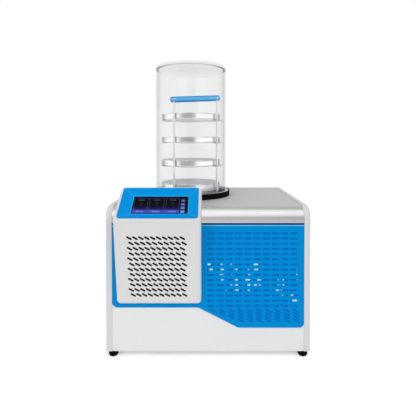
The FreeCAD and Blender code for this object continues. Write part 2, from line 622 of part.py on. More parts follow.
def trap_parts():
    """The drawn steel pot with its rim, the brazed jacket round it, and the foam round both."""
    seat = "top_z - cover_drop"
    pot = on_jar_axis(new_body("trap_pot"))
    turn(pot, [("drain_radius", "trap_floor_z"),
               ("trap_radius + trap_wall", "trap_floor_z", "12"),
               ("trap_radius + trap_wall", seat), ("trap_flange", seat),
               ("trap_flange", f"{seat} + trap_wall"),
               ("trap_radius", f"{seat} + trap_wall", "3"),
               ("trap_radius", "trap_floor_z + trap_wall", "12 - trap_wall"),
               ("drain_radius", "trap_floor_z + trap_wall")])
    mouth = circle(sketch_on(pot, "XZ_Plane"), "0", "port_z", "port_throat")
    cut(pot, mouth, "trap_radius + 2 * trap_wall")
    jacket = on_jar_axis(new_body("evaporator_jacket"))
    wall = "trap_radius + trap_wall"
    turn(jacket, [(wall, "jacket_low_z"), ("jacket_radius", "jacket_low_z + 7"),
                  ("jacket_radius", "jacket_high_z - 7"), (wall, "jacket_high_z"),
                  (wall, "jacket_high_z - 3"), ("jacket_radius - 2", "jacket_high_z - 9"),
                  ("jacket_radius - 2", "jacket_low_z + 9"), (wall, "jacket_low_z + 3")])
    foam = on_jar_axis(new_body("trap_insulation"))
    turn(foam, [("drain_radius + drain_wall + gap", "foam_low_z"), ("foam_outer", "foam_low_z"),
                ("foam_outer", "foam_high_z"), ("trap_radius + trap_wall + gap", "foam_high_z"),
                ("trap_radius + trap_wall + gap", "jacket_high_z + 2"),
                ("foam_inner", "jacket_high_z + 2"), ("foam_inner", "trap_floor_z - gap"),
                ("drain_radius + drain_wall + gap", "trap_floor_z - gap")])
    tunnel = circle(sketch_on(foam, "XZ_Plane", "0"), "0", "port_z",
                    "port_bore + port_wall + gap")
    cut(foam, tunnel, "foam_outer + 1")
    for across in ("-jacket_port", "jacket_port"):
        stub = circle(sketch_on(foam, "YZ_Plane", "0"), across, "jacket_port_z",
                      "line_radius + 1 + gap")
        cut(foam, stub, "foam_outer + 1", back=True)


def bell_jar():
    """A clear tube with a thick flat lid, standing by its foot ring on a rubber seal."""
    tube = on_jar_axis(new_body("jar_wall"))
    turn(tube, [("jar_radius - jar_wall", "jar_foot_z"), ("jar_radius", "jar_foot_z"),
                ("jar_radius", "jar_top_z - jar_lid"),
                ("jar_radius - jar_wall", "jar_top_z - jar_lid")])
    lid = on_jar_axis(new_body("jar_lid"))
    turn(lid, [("0", "jar_top_z - jar_lid"), ("jar_radius", "jar_top_z - jar_lid"),
               ("jar_radius", "jar_top_z", "jar_lid * 0.6"), ("0", "jar_top_z")])
    ring = on_jar_axis(new_body("jar_base_ring"))
    turn(ring, [("jar_radius", "jar_foot_z"), ("ring_outer", "jar_foot_z"),
                ("ring_outer", "jar_foot_z + ring_high", "1"),
                ("jar_radius", "jar_foot_z + ring_high")])
    seal = on_jar_axis(new_body("seal_ring"))
    low, high = "top_z - cover_drop + trap_wall", "top_z + seal_high"
    turn(seal, [("seal_inner", low), ("trap_flange + gap", low),
                ("trap_flange + gap", "top_z - cover_drop"),
                ("seal_radius", "top_z - cover_drop", "1"), ("seal_radius", f"{high} + 2", "1.2"),
                ("ring_outer + gap", f"{high} + 2", "1.2"), ("ring_outer + gap", "jar_foot_z"),
                ("seal_inner", "jar_foot_z")])


def rack():
    """The drying rack: a foot ring, two rods, a bar handle, and a shelf for each tray."""
    seat = "top_z - cover_drop + trap_wall"
    rods = ("rod_left_x", "rod_left_y"), ("rod_right_x", "rod_right_y")
    foot = on_jar_axis(new_body("rack_foot"))
    ring = sketch_on(foot, "XY_Plane", seat)
    circle(ring, "0", "0", "rack_foot_outer")
    circle(ring, "0", "0", "rack_foot_inner")
    pad(foot, ring, "rack_foot")
    pair, lean = [], "(rod_right_x - rod_left_x) / 2 * tan(handle_tilt)"
    for name, side, (across, deep) in (("left_rod", "-", rods[0]), ("right_rod", "+", rods[1])):
        rod = MODEL.addObject("Part::Cylinder", name)
        bind(rod, Radius="rod_radius",
             Height=f"handle_z {side} {lean} + rod_in_handle - ({seat} + rack_foot)")
        pair.append(place(rod, f"jar_x + {across}", f"jar_y + {deep}", f"{seat} + rack_foot"))
    handle(group("rack_rods", pair))
    for number in range(int(mm("tray_count"))):
        low = f"tray_first_z + {number} * tray_pitch"
        shelf(number, low, rods)
        tray(number, low)


def handle(rods):
    """A round bar across the tops of the rods, which end in it: a little out of level and
    set in a little from them, to clear the jar."""
    span = "sqrt((rod_right_x - rod_left_x) ^ 2 + (rod_right_y - rod_left_y) ^ 2)"
    reach = f"({span} / 2 / cos(handle_tilt) + handle_over)"
    grip = new_body("handle_bar")
    turn(grip, [("0", f"-{reach}"), ("handle_radius", f"-{reach}", "handle_radius * 0.97"),
                ("handle_radius", reach, "handle_radius * 0.97"), ("0", reach)])
    along = FreeCAD.Vector(mm("rod_right_x - rod_left_x"), mm("rod_right_y - rod_left_y"),
                           mm(f"{span} * tan(handle_tilt)"))
    grip.Placement = FreeCAD.Placement(
        FreeCAD.Vector(mm("jar_x + (rod_left_x + rod_right_x) / 2 - handle_shift"),
                       mm("jar_y + (rod_left_y + rod_right_y) / 2 + handle_inset"),
                       mm("handle_z")),
        FreeCAD.Rotation(FreeCAD.Vector(0, 0, 1), FreeCAD.Vector(), along, "ZXY"))
    SUB_PARTS.remove(grip)
    bored = MODEL.addObject("Part::Cut", "rack_handle")
    bored.Base, bored.Tool = grip, rods
    SUB_PARTS.append(bored)
    MODEL.recompute()


def shelf(number, low, rods):
    """A thin ring under a tray, with two upright lugs beside it and ears round the rods."""
    body = on_jar_axis(new_body(f"tray_shelf_{number + 1}"), f"{low} - shelf_sheet")
    disc = circle(sketch_on(body, "XY_Plane"), "0", "0", "shelf_outer + shelf_sheet")
    pad(body, disc, "shelf_sheet")
    for across, deep in rods:
        ear = circle(sketch_on(body, "XY_Plane"), across, deep, "rod_radius + 3.5")
        pad(body, ear, "shelf_sheet")
    arm = sketch_on(body, "XY_Plane")
    outline(arm, box_corners("tray_radius - 20", "-lug_width / 2", "jar_radius - jar_wall - 1.5",
                             "lug_width / 2"))
    pad(body, arm, "shelf_sheet")
    for side in ("-", ""):
        lug = [(f"{side}({out}) * cos(lug_turn) + {side}({along}) * sin(lug_turn)",
                f"({along}) * cos(lug_turn) - ({out}) * sin(lug_turn)")
               for out, along in (("shelf_outer", "-lug_width / 2"),
                                  ("shelf_outer + shelf_sheet", "-lug_width / 2"),
                                  ("shelf_outer + shelf_sheet", "lug_width / 2"),
                                  ("shelf_outer", "lug_width / 2"))]
        pad(body, outline(sketch_on(body, "XY_Plane"), lug[::-1] if side else lug),
            "tray_high + shelf_sheet")
    bore = circle(sketch_on(body, "XY_Plane"), "0", "0", "shelf_inner")
    cut(body, bore, "2 * shelf_sheet", back=True)
    for across, deep in rods:
        hole = circle(sketch_on(body, "XY_Plane"), across, deep, "rod_radius")
        cut(body, hole, "2 * shelf_sheet", back=True)


def tray(number, low):
    """A pressed steel dish with a rolled edge."""
    body = on_jar_axis(new_body(f"tray_{number + 1}"), low)
    turn(body, [("0", "0"), ("tray_radius - 1.5", "0", "4"), ("tray_radius - 1.5", "tray_high - 3"),
                ("tray_radius", "tray_high - 2.5"), ("tray_radius", "tray_high", "1"),
                ("tray_radius - 1.5 - tray_wall", "tray_high", "1"),
                ("tray_radius - 1.5 - tray_wall", "tray_wall", "4 - tray_wall"),
                ("0", "tray_wall")])


# ---------------------------------------------------------------------------------------------
# Refrigeration


def condenser():
    """Blue-coated fins on a copper serpentine, standing right behind the grille."""
    left, right = "condenser_left_x", "condenser_right_x"
    core = new_body("condenser_fins")
    deep = "condenser_front_y + condenser_deep"
    low, high = "condenser_low_z", "condenser_high_z"
    sketch = outline(sketch_on(core, "XY_Plane", low),
                     box_corners(f"{left} + tube_end", "condenser_front_y",
                                 f"{right} - tube_end", deep))
    pad(core, sketch, f"{high} - {low}")
    first = f"{left} + tube_end + fin_pitch / 2"
    groove = outline(sketch_on(core, "XY_Plane", low),
                     box_corners(first, "condenser_front_y - 1", f"{first} + fin_gap",
                                 "condenser_front_y + fin_groove"))
    columns = f"round(({right} - {left} - 2 * tube_end - fin_pitch) / fin_pitch)"
    grid(core, cut(core, groove, f"{high} - {low}", back=True), groove, columns, "fin_pitch",
         "1", "0")
    middle = mm("condenser_front_y + condenser_deep / 2")
    rows = int(mm("tube_rows"))
    pitch = mm(f"{high} - {low} - 2 * tube_margin") / (rows - 1)
    bends = []
    for row in range(rows - 1):
        level = mm(f"{low} + tube_margin") + row * pitch
        side = 1 if row % 2 == 0 else -1
        edge = mm(f"{right} - tube_end") if side > 0 else mm(f"{left} + tube_end")
        out = edge + side * mm("tube_turn + gap")
        route = [(edge, middle, level), (out, middle, level), (out, middle, level + pitch),
                 (edge, middle, level + pitch)]
        bends.append(tube_along(route, mm("tube_radius"), mm("tube_turn")))
    shaped("condenser_bends", Part.Compound(bends))


def fan():
    """A sheet shroud behind the condenser, a motor on its strap, and a five-bladed fan."""
    shroud = new_body("fan_shroud")
    face = "-(shroud_y)"
    area = box_corners("condenser_left_x + 2 * fin_groove", "condenser_low_z",
                       "condenser_right_x - 2 * fin_groove", "condenser_high_z")
    pad(shroud, outline(sketch_on(shroud, "XZ_Plane", face), area), "sheet", back=True)
    collar = sketch_on(shroud, "XZ_Plane", face)
    circle(collar, "fan_x", "fan_z", "fan_radius + shroud_clear + sheet")
    pad(shroud, collar, "shroud_deep", back=True)
    mouth = circle(sketch_on(shroud, "XZ_Plane", face), "fan_x", "fan_z",
                   "fan_radius + shroud_clear")
    cut(shroud, mouth, "shroud_deep + 1")
    rear = "shroud_y + shroud_deep"
    for side in (-1, 1):
        strut = outline(sketch_on(shroud, "XZ_Plane", f"-({rear})"), box_corners(
            f"fan_x + {side} * strut_x - strut_width / 2", "fan_z - fan_radius - strut_width / 2",
            f"fan_x + {side} * strut_x + strut_width / 2", "fan_z + fan_radius + strut_width / 2"))
        pad(shroud, strut, "2 * sheet", back=True)

    motor = new_body("fan_motor")
    start = f"-({rear} + 2 * sheet)"
    pad(motor, circle(sketch_on(motor, "XZ_Plane", start), "fan_x", "fan_z", "motor_radius"),
        "motor_deep", back=True)
    shaft = circle(sketch_on(motor, "XZ_Plane", start), "fan_x", "fan_z", "fan_shaft")
    pad(motor, shaft, f"{rear} + 2 * sheet - fan_y + fan_shaft")

    rotor = place(new_body("fan_blade"), "fan_x", "fan_y", "fan_z")
    pad(rotor, circle(sketch_on(rotor, "XZ_Plane"), "0", "0", "fan_hub"), "hub_deep", both=True)
    sections = []
    for radius, chord, pitch in (("fan_hub - 3", "blade_root", "fan_pitch + 6"),
                                 ("fan_radius + 8", "blade_tip", "fan_pitch - 10")):
        across, over = f"({chord}) / 2", "blade_thick / 2"
        sections.append(outline(sketch_on(rotor, "XY_Plane", radius), [
            (f"{i} * {across} * cos({pitch}) - {j} * {over} * sin({pitch})",
             f"{i} * {across} * sin({pitch}) + {j} * {over} * cos({pitch})")
            for i, j in ((-1, -1), (1, -1), (1, 1), (-1, 1))]))
    blade = rotor.newObject("PartDesign::AdditiveLoft", "fan_blade_loft")
    blade.Profile = sections[0]
    blade.Sections = sections[1:]
    blade.Ruled = True
    MODEL.recompute()
    spread = rotor.newObject("PartDesign::PolarPattern", "fan_blade_pattern")
    spread.Originals = [blade]
    axis = [item for item in rotor.Origin.OriginFeatures if item.Role == "Y_Axis"][0]
    spread.Axis = (axis, [""])
    spread.Angle = 360
    bind(spread, Occurrences="fan_blades")
    rotor.Tip = spread
    MODEL.recompute()
    beyond = sketch_on(rotor, "XZ_Plane")
    circle(beyond, "0", "0", "fan_radius")
    circle(beyond, "0", "0", "fan_radius * 1.4")
    cut(rotor, beyond, "2 * fan_radius", both=True)
    bore = circle(sketch_on(rotor, "XZ_Plane"), "0", "0", "fan_shaft + turning_gap")
    cut(rotor, bore, "2 * hub_deep", both=True)


def compressor():
    """A welded hermetic compressor with its foot plate on four rubber grommets."""
    shell = place(new_body("compressor"), "compressor_x", "compressor_y", "compressor_foot_z")
    turn(shell, [("0", "shell_foot - 1"), ("shell_radius", "shell_foot - 1", "20"),
                 ("shell_radius", "seam_z"), ("compressor_radius", "seam_z"),
                 ("compressor_radius", "seam_z + seam_high"),
                 ("shell_radius", "seam_z + seam_high"),
                 ("shell_radius", "compressor_high", "34"), ("0", "compressor_high")])
    half = "shell_radius + foot_lap"
    plate = outline(sketch_on(shell, "XY_Plane"),
                    box_corners(f"-({half})", f"-({half})", half, half, "14"))
    pad(shell, plate, "shell_foot")
    grommets = []
    for i, j in ((-1, -1), (1, -1), (1, 1), (-1, 1)):
        hole = circle(sketch_on(shell, "XY_Plane"), f"{i} * shell_radius", f"{j} * shell_radius",
                      "grommet_hole")
        cut(shell, hole, "shell_foot + 1", back=True)
        grommet = MODEL.addObject("Part::Cylinder", "grommet")
        bind(grommet, Radius="grommet_radius", Height="compressor_foot_z - base_z - sheet")
        grommets.append(place(grommet, f"compressor_x + {i} * shell_radius",
                              f"compressor_y + {j} * shell_radius", "base_z + sheet"))
    group("compressor_grommets", grommets)


def coped(tube, across, deep, radius):
    """A tube with its end cut to fit against an upright round wall."""
    wall = Part.makeCylinder(radius, mm("top_z"), FreeCAD.Vector(across, deep, 0))
    return tube.cut(wall)


def refrigerant_lines():
    """Discharge, liquid and suction lines, with the drier in the liquid line."""
    line, thin, bend = mm("line_radius"), mm("capillary_radius"), mm("line_bend")
    shell_x, shell_y, shell = mm("compressor_x"), mm("compressor_y"), mm("shell_radius")
    clear, lap, port = mm("compressor_radius + line_clear"), mm("line_lap"), mm("shell_port_z")
    core_x, core_y = mm("condenser_left_x + tube_end"), mm("condenser_front_y + condenser_deep / 2")
    inlet, outlet = mm("condenser_high_z - tube_margin"), mm("condenser_low_z + tube_margin")
    over, aside = mm("condenser_high_z + 18"), core_x - 30
    discharge = tube_along([
        (shell_x + shell - lap, shell_y, port), (shell_x + clear, shell_y, port),
        (shell_x + clear, shell_y, over), (shell_x + clear, core_y, over),
        (aside, core_y, over), (aside, core_y, inlet), (core_x, core_y, inlet)], line, bend)
    shaped("discharge_line", coped(discharge, shell_x, shell_y, shell))

    drier_x, drier_y, drier_z = mm("drier_x"), mm("drier_y"), mm("condenser_low_z")
    neck, far = "drier_neck", "drier_long"
    drier = place(new_body("filter_drier"), "drier_x", "drier_y", "condenser_low_z")
    turn(drier, [("0", "0"), (neck, "0"), (neck, "12"), ("drier_radius", "24", "3"),
                 ("drier_radius", f"{far} - 24", "3"), (neck, f"{far} - 12"), (neck, far),
                 ("0", far)])
    under = drier_z - 20
    shaped("liquid_line", tube_along([
        (core_x, core_y, outlet), (core_x - 18, core_y, outlet), (drier_x, core_y, under),
        (drier_x, drier_y, under), (drier_x, drier_y, drier_z)], line, bend))

    jar_x, jar_y, jacket = mm("jar_x"), mm("jar_y"), mm("jacket_radius")
    stub, aside = mm("jacket_port_z"), mm("jacket_port")
    inside = jar_x + math.sqrt(jacket ** 2 - (aside + 5) ** 2) - 1
    capillary = tube_along([
        (drier_x, drier_y, drier_z + mm(far)), (drier_x, drier_y, stub - 30),
        (jar_x + 172, jar_y - aside, stub - 0.5), (inside, jar_y - aside, stub)], thin, 2 * bend)
    shaped("capillary_tube", coped(capillary, jar_x, jar_y, jacket))
    suction = tube_along([
        (inside, jar_y + aside, stub), (shell_x - clear, jar_y + aside, stub),
        (shell_x - clear, shell_y, port), (shell_x - shell + lap, shell_y, port)],
        line + 1, bend)
    suction = coped(suction, jar_x, jar_y, jacket)
    shaped("suction_line", coped(suction, shell_x, shell_y, shell))


# ---------------------------------------------------------------------------------------------
# Electrics, vacuum and drain


def electrics():
    """The supply box, and the mains fittings on the rear panel."""
    block("power_supply", "supply_left_x", "supply_front_y", "base_z + sheet",
          "supply_left_x + supply_wide", "supply_front_y + supply_deep", "base_z + supply_high")
    inlet = new_body("power_inlet")
    flange = middle_box("inlet_x", "inlet_flange_half", "inlet_flange_high", "4")
    pad(inlet, outline(on_rear(inlet), flange), "inlet_flange", back=True)
    pad(inlet, outline(on_rear(inlet), middle_box("inlet_x", "inlet_half", "inlet_half_high")),
        "inlet_deep")
    left, right = "inlet_x - socket_half", "inlet_x + socket_half"
    low, high = "inlet_z - socket_half_high", "inlet_z + socket_half_high"
    socket = [(left, low), (right, low), (right, f"{high} - socket_chamfer"),
              (f"{right} - socket_chamfer", high), (f"{left} + socket_chamfer", high),
              (left, f"{high} - socket_chamfer")]
    cut(inlet, outline(on_rear(inlet, "inlet_flange"), socket), "inlet_flange + socket_deep",
        back=True)
    for across, rise in (("-pin_pitch", "-pin_rise"), ("0", "pin_rise"),
                         ("pin_pitch", "-pin_rise")):
        pin = box_corners(f"inlet_x + {across} - pin_half", f"inlet_z + {rise} - 2 * pin_half",
                          f"inlet_x + {across} + pin_half", f"inlet_z + {rise} + 2 * pin_half")
        pad(inlet, outline(on_rear(inlet, "-socket_deep"), pin), "pin_long", back=True)

    frame = new_body("power_switch_frame")
    rim = middle_box("switch_x", "switch_half + switch_rim", "switch_half_high + switch_rim", "1")
    pad(frame, outline(on_rear(frame), rim), "switch_proud", back=True)
    pad(frame, outline(on_rear(frame), middle_box("switch_x", "switch_half", "switch_half_high")),
        "switch_deep")
    well = middle_box("switch_x", "well_half", "well_half_high")
    cut(frame, outline(on_rear(frame, "switch_proud"), well), "switch_proud + well_deep",
        back=True)
    pivot = "rear_y - pivot_deep", "inlet_z"
    sockets = circle(sketch_on(frame, "YZ_Plane", "switch_x"), *pivot,
                     "pivot_radius + turning_gap")
    cut(frame, sockets, "pivot_long + 0.2", both=True)

    rocker = new_body("power_switch_rocker")
    profile = [("rear_y - 3", "inlet_z - rocker_half"),
               ("rear_y + rocker_down", "inlet_z - rocker_half - 0.8"),
               ("rear_y + switch_proud + 0.2", "inlet_z"),
               ("rear_y + rocker_up", "inlet_z + rocker_half + 0.2"),
               ("rear_y - 2", "inlet_z + rocker_half"), ("rear_y - rocker_heel", "inlet_z", "2")]
    pad(rocker, outline(sketch_on(rocker, "YZ_Plane", "switch_x"), profile), "rocker_wide",
        both=True)
    pad(rocker, circle(sketch_on(rocker, "YZ_Plane", "switch_x"), *pivot, "pivot_radius"),
        "pivot_long", both=True)

    fuse = place(new_body("fuse_holder"), "fuse_x", "rear_y", "inlet_z")
    pad(fuse, circle(sketch_on(fuse, "XZ_Plane"), "0", "0", "fuse_radius"), "fuse_deep")
    pad(fuse, circle(sketch_on(fuse, "XZ_Plane"), "0", "0", "fuse_cap"), "fuse_proud", back=True)


def on_rear(body, proud="0"):
    """A sketch on the rear panel's outer face, or a distance behind it."""
    return sketch_on(body, "XZ_Plane", f"-(rear_y + {proud})")


def middle_box(across, half_wide, half_high, radius=None):
    """The corners of a box about a point on the mains fittings' row."""
    return box_corners(f"{across} - ({half_wide})", f"inlet_z - ({half_high})",
                       f"{across} + ({half_wide})", f"inlet_z + ({half_high})", radius)


def vacuum_parts():
    """The pumping tube with its clamp flange, the gauge on it, and the air inlet valve."""
    port = place(new_body("vacuum_port"), "jar_x", "0", "port_z")
    long = "(rear_most_y - port_start_y)"
    for radius, length in (("port_bore + port_wall", long), ("port_flange", "port_flange_thick")):
        pad(port, circle(port_face(port), "0", "0", radius), length)
    for radius, length in (("port_throat", f"{long} + 1"),
                           ("port_bore", f"{long} - port_throat_long")):
        cut(port, circle(port_face(port), "0", "0", radius), length, back=True)
    pot = circle(sketch_on(port, "XY_Plane", "-2 * port_bore"), "0", "jar_y",
                 "trap_radius + trap_wall")
    cut(port, pot, "4 * port_bore", back=True)

    gauge = place(new_body("vacuum_gauge"), "jar_x", "gauge_y", "port_z")
    tip = "-port_bore - port_wall - gap / 2"
    turn(gauge, [("0", "-gauge_foot"), ("gauge_radius", "-gauge_foot", "2"),
                 ("gauge_radius", "gauge_high - gauge_foot", "2"),
                 ("gauge_neck", "gauge_high - gauge_foot"), ("gauge_neck", tip), ("0", tip)])

    body = place(new_body("vent_valve_body"), "vent_valve_x", "rear_y", "port_z")
    pad(body, circle(sketch_on(body, "XZ_Plane"), "0", "0", "valve_radius"), "valve_deep")
    pad(body, circle(sketch_on(body, "XZ_Plane"), "0", "0", "valve_collar"), "valve_collar_deep",
        back=True)
    pad(body, circle(sketch_on(body, "XZ_Plane", "-valve_collar_deep"), "0", "0", "valve_stem"),
        "valve_collar_deep", back=True)
    across, deep, level = mm("vent_valve_x"), mm("rear_y - valve_deep"), mm("port_z")
    run = deep - mm("vent_run")
    shaped("vent_tube", tube_along([
        (across, deep, level), (across, run, level),
        (mm("jar_x - port_bore - port_wall"), run, level)], mm("capillary_radius"),
        mm("line_bend")))

    knob = place(new_body("vent_valve_knob"), "vent_valve_x",
                 "rear_y + valve_collar_deep + knob_gap", "port_z")
    pad(knob, circle(sketch_on(knob, "XZ_Plane"), "0", "0", "knob_radius"), "knob_deep", back=True)
    notch = circle(sketch_on(knob, "XZ_Plane"), "0", "scallop_centre", "scallop_radius")
    scallop = cut(knob, notch, "knob_deep + 1")
    spread = knob.newObject("PartDesign::PolarPattern", "vent_valve_knob_scallops")
    spread.Originals = [scallop]
    axis = [item for item in knob.Origin.OriginFeatures if item.Role == "Y_Axis"][0]
    spread.Axis = (axis, [""])
    spread.Angle = 360
    bind(spread, Occurrences="scallops")
    knob.Tip = spread
    MODEL.recompute()
    cut(knob, circle(sketch_on(knob, "XZ_Plane"), "0", "0", "valve_stem + turning_gap"),
        "valve_collar_deep + 1")


def port_face(port):
    """A sketch on the pumping tube's clamp face."""
    return sketch_on(port, "XZ_Plane", "-rear_most_y")


def drain_parts():
    """The trap's drain tube, the ball valve in the rear panel, and its quarter-turn lever."""
    x, y = mm("jar_x"), mm("jar_y")
    low, level, rear = mm("trap_floor_z"), mm("drain_z"), mm("rear_y - drain_body_deep")
    outer, bore, bend = mm("drain_radius + drain_wall"), mm("drain_radius"), mm("drain_bend")
    route = [(x, y, low), (x, y, level), (x, rear, level)]
    shaped("drain_tube", tube_along(route, outer, bend).cut(tube_along(route, bore, bend)))

    body = place(new_body("drain_valve_body"), "jar_x", "rear_y", "drain_z")
    pad(body, circle(sketch_on(body, "XZ_Plane", "drain_body_deep"), "0", "0", "drain_body"),
        "drain_body_deep + drain_body_out", back=True)
    pad(body, circle(sketch_on(body, "XZ_Plane", "-drain_body_out"), "0", "0", "barb_radius"),
        "rear_most_y - rear_y - drain_body_out", back=True)
    pad(body, circle(sketch_on(body, "XY_Plane"), "0", "stem_y", "stem_radius"), "stem_top")
    cut(body, circle(sketch_on(body, "XZ_Plane", "drain_body_deep + 1"), "0", "0", "barb_bore"),
        "3 * drain_body_deep")

    lever = place(new_body("drain_valve_lever"), "jar_x", "rear_y + stem_y", "drain_z + lever_z")
    pad(lever, circle(sketch_on(lever, "XY_Plane"), "0", "0", "lever_hub"), "lever_hub_high")
    arm = box_corners("0", "-lever_half", "lever_long", "lever_half", "lever_half - 0.5")
    pad(lever, outline(sketch_on(lever, "XY_Plane", "lever_lift"), arm), "lever_thick")
    cut(lever, circle(sketch_on(lever, "XY_Plane"), "0", "0", "stem_radius + turning_gap"),
        "lever_hub_high + 1", back=True)


def cover_screws():
    """Pan-head screws round the rear panel."""
    side, screws = "half_width - cheek - screw_inset", []
    for across in (f"-({side})", "0", side):
        for high in ("base_z + screw_low", "top_z - screw_high"):
            screw = MODEL.addObject("Part::Cylinder", "screw")
            bind(screw, Radius="screw_head", Height="screw_proud")
            screw.Placement = FreeCAD.Placement(
                FreeCAD.Vector(), FreeCAD.Rotation(FreeCAD.Vector(1, 0, 0), -90))
            screws.append(place(screw, across, "rear_y", high))
    group("cover_screws", screws)


# ---------------------------------------------------------------------------------------------


def build():
    fill_sheet()
    side_panel("left_side_panel", -1)
    side_panel("right_side_panel", 1)
    for section in (base_pan, top_cover, front_skirt, front_grille, dust_filter, rear_panel,
                    cross_member, rubber_feet, console_shell, screen_bezel, touch_screen, boards,
                    trap_parts, bell_jar, rack, condenser, fan, compressor, refrigerant_lines,
                    electrics, vacuum_parts, drain_parts, cover_screws):
        section()
    MODEL.recompute()


def export():
    """Check every object, then write each sub-part to its own file."""
    for thing in MODEL.Objects:
        if {"Invalid", "Error"} & set(thing.State):
            raise RuntimeError(f"{thing.Label} failed: {thing.State}")
    os.makedirs("parts", exist_ok=True)
    for thing in SUB_PARTS:
        if thing.Shape.isNull() or not thing.Shape.isValid() or thing.Shape.Volume <= 0:
            raise RuntimeError(f"{thing.Label} has no valid shape")
        thing.Shape.exportStep(f"parts/{thing.Label}.step")


build()
export()
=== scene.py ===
import math

import bmesh
import bpy
import numpy as np
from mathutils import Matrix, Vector
from mathutils.geometry import delaunay_2d_cdt


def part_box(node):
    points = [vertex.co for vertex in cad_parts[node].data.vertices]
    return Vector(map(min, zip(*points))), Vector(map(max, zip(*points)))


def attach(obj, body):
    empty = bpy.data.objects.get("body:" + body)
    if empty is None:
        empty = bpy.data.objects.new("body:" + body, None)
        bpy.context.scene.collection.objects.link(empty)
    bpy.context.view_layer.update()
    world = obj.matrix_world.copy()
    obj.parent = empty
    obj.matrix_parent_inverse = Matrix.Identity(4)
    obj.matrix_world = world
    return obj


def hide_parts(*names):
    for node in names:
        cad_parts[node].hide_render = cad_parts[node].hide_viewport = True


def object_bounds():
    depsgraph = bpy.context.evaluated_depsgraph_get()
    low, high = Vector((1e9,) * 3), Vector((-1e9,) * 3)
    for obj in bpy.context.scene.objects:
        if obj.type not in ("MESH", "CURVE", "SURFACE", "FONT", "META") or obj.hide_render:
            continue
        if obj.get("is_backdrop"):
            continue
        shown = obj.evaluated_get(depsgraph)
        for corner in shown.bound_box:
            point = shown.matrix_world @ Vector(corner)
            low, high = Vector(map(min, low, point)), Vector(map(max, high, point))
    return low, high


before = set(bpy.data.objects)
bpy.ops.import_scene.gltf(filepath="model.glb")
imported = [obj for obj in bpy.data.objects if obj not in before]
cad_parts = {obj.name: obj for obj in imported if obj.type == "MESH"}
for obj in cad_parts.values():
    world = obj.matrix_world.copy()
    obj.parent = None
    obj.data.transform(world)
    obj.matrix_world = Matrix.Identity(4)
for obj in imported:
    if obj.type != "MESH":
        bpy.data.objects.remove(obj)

bl_info = {
    "name": "Freeze dryer",
    "version": (1, 0, 0),
    "blender": (4, 5, 0),
    "location": "3D View > Sidebar > Freeze dryer",
    "description": "Surfaces and finishes of a bench-top freeze dryer, built round its frame",
    "category": "Object",
}

CAD_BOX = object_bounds()
MM = 0.001
TINY = 1e-5  # the least corner radius, so that rings of one outline keep their point count
WELD = 2e-6  # points nearer to each other than this are joined
CREASE = math.radians(35)  # faces that meet at less than this are shaded as one surface
CAD_CREASE = math.radians(32)  # the same, for the nodes that keep their CAD shape


# ---------------------------------------------------------------------------------------------
# Sizes and colours


def length(name, about, default):
    """A property in metres."""
    return bpy.props.FloatProperty(
        name=name, description=about, default=default, unit="LENGTH", precision=4)


def angle(name, about, degrees):
    """A property given in degrees."""
    return bpy.props.FloatProperty(
        name=name, description=about, default=math.radians(degrees), subtype="ANGLE")


def count(name, about, default):
    """A whole number of like things."""
    return bpy.props.IntProperty(name=name, description=about, default=default, min=1)


def tint(name, about, default):
    """A colour property."""
    return bpy.props.FloatVectorProperty(
        name=name, description=about, default=default, subtype="COLOR", min=0.0, max=1.0)


class CabinetSizes(bpy.types.PropertyGroup):
    cheek_corner: length("Cheek front corner", "Radius of a cheek's upper front corner", 0.038)
    cheek_rear_corner: length("Cheek rear corner", "Radius of a cheek's upper rear corner", 0.012)
    cheek_edge: length("Cheek edge", "Radius of a cheek's outer edge", 0.008)
    cover_bend: length("Cover bend", "Radius of the steel cover's front bend", 0.034)
    cover_rear_bend: length("Cover rear bend", "Radius of its bend into the rear flange", 0.003)
    cover_hem: length("Cover hem", "Depth of the steel cover's rear flange", 0.015)
    sheet: length("Sheet", "Thickness of the steel sheet", 0.0015)
    burr: length("Sheet edge", "Radius along the steel sheet's edges", 0.0004)
    trap_hole: length("Trap hole", "Radius of the hole over the cold trap", 0.0945)
    foot: length("Foot", "Radius of a foot", 0.015)
    foot_toe: length("Foot toe", "Radius of a foot where it stands", 0.012)
    foot_shoulder: length("Foot shoulder", "Height at which a foot is at its widest", 0.0055)


class GrilleSizes(bpy.types.PropertyGroup):
    step_left: length("Step start", "Where the lower edge starts to fall", -0.0286)
    step_right: length("Step end", "Where the lower edge is at its lowest", 0.088)
    step_height: length("Step height", "Height of the lower edge's left part", 0.146)
    left_corner: length("Left corner", "Radius of the lower left corner", 0.016)
    upper_step: length("Step, upper bend", "Radius where the lower edge starts to fall", 0.030)
    lower_step: length("Step, lower bend", "Radius where the lower edge is at its lowest", 0.024)
    right_corner: length("Right corner", "Radius of the lower right corner", 0.014)
    top_corner: length("Top corners", "Radius of the upper corners", 0.003)
    skirt_bend: length("Skirt bend", "Radius of the skirt's step behind the grille", 0.004)
    slot_length: length("Slot length", "Length of a level slot", 0.0206)
    slot_height: length("Slot height", "Height of a level slot", 0.0048)
    first_across: length("First slot across", "Middle of the first slot of a row", 0.0084)
    first_up: length("First slot up", "Height of the lowest row of level slots", 0.1512)
    pitch_across: length("Pitch across", "Distance between slots of a row", 0.0269)
    pitch_up: length("Pitch up", "Distance between rows of level slots", 0.0152)
    columns: count("Columns", "Slots in a row", 10)
    rows: count("Rows", "Rows of level slots", 15)
    slant: angle("Slant", "Fall of the slanted slots", 30)
    slant_length: length("Slanted slot length", "Length of a slanted slot", 0.0206)
    slant_height: length("Slanted slot height", "Width of a slanted slot", 0.004)
    slant_shift: length("Slant shift", "How far the slanted slots are set to the right", 0.0065)
    slant_top: length("Slant top", "Height of the highest slanted row", 0.1366)
    slant_pitch: length("Slant pitch", "Distance between slanted rows", 0.0094)
    slant_rows: count("Slanted rows", "Rows of slanted slots", 4)


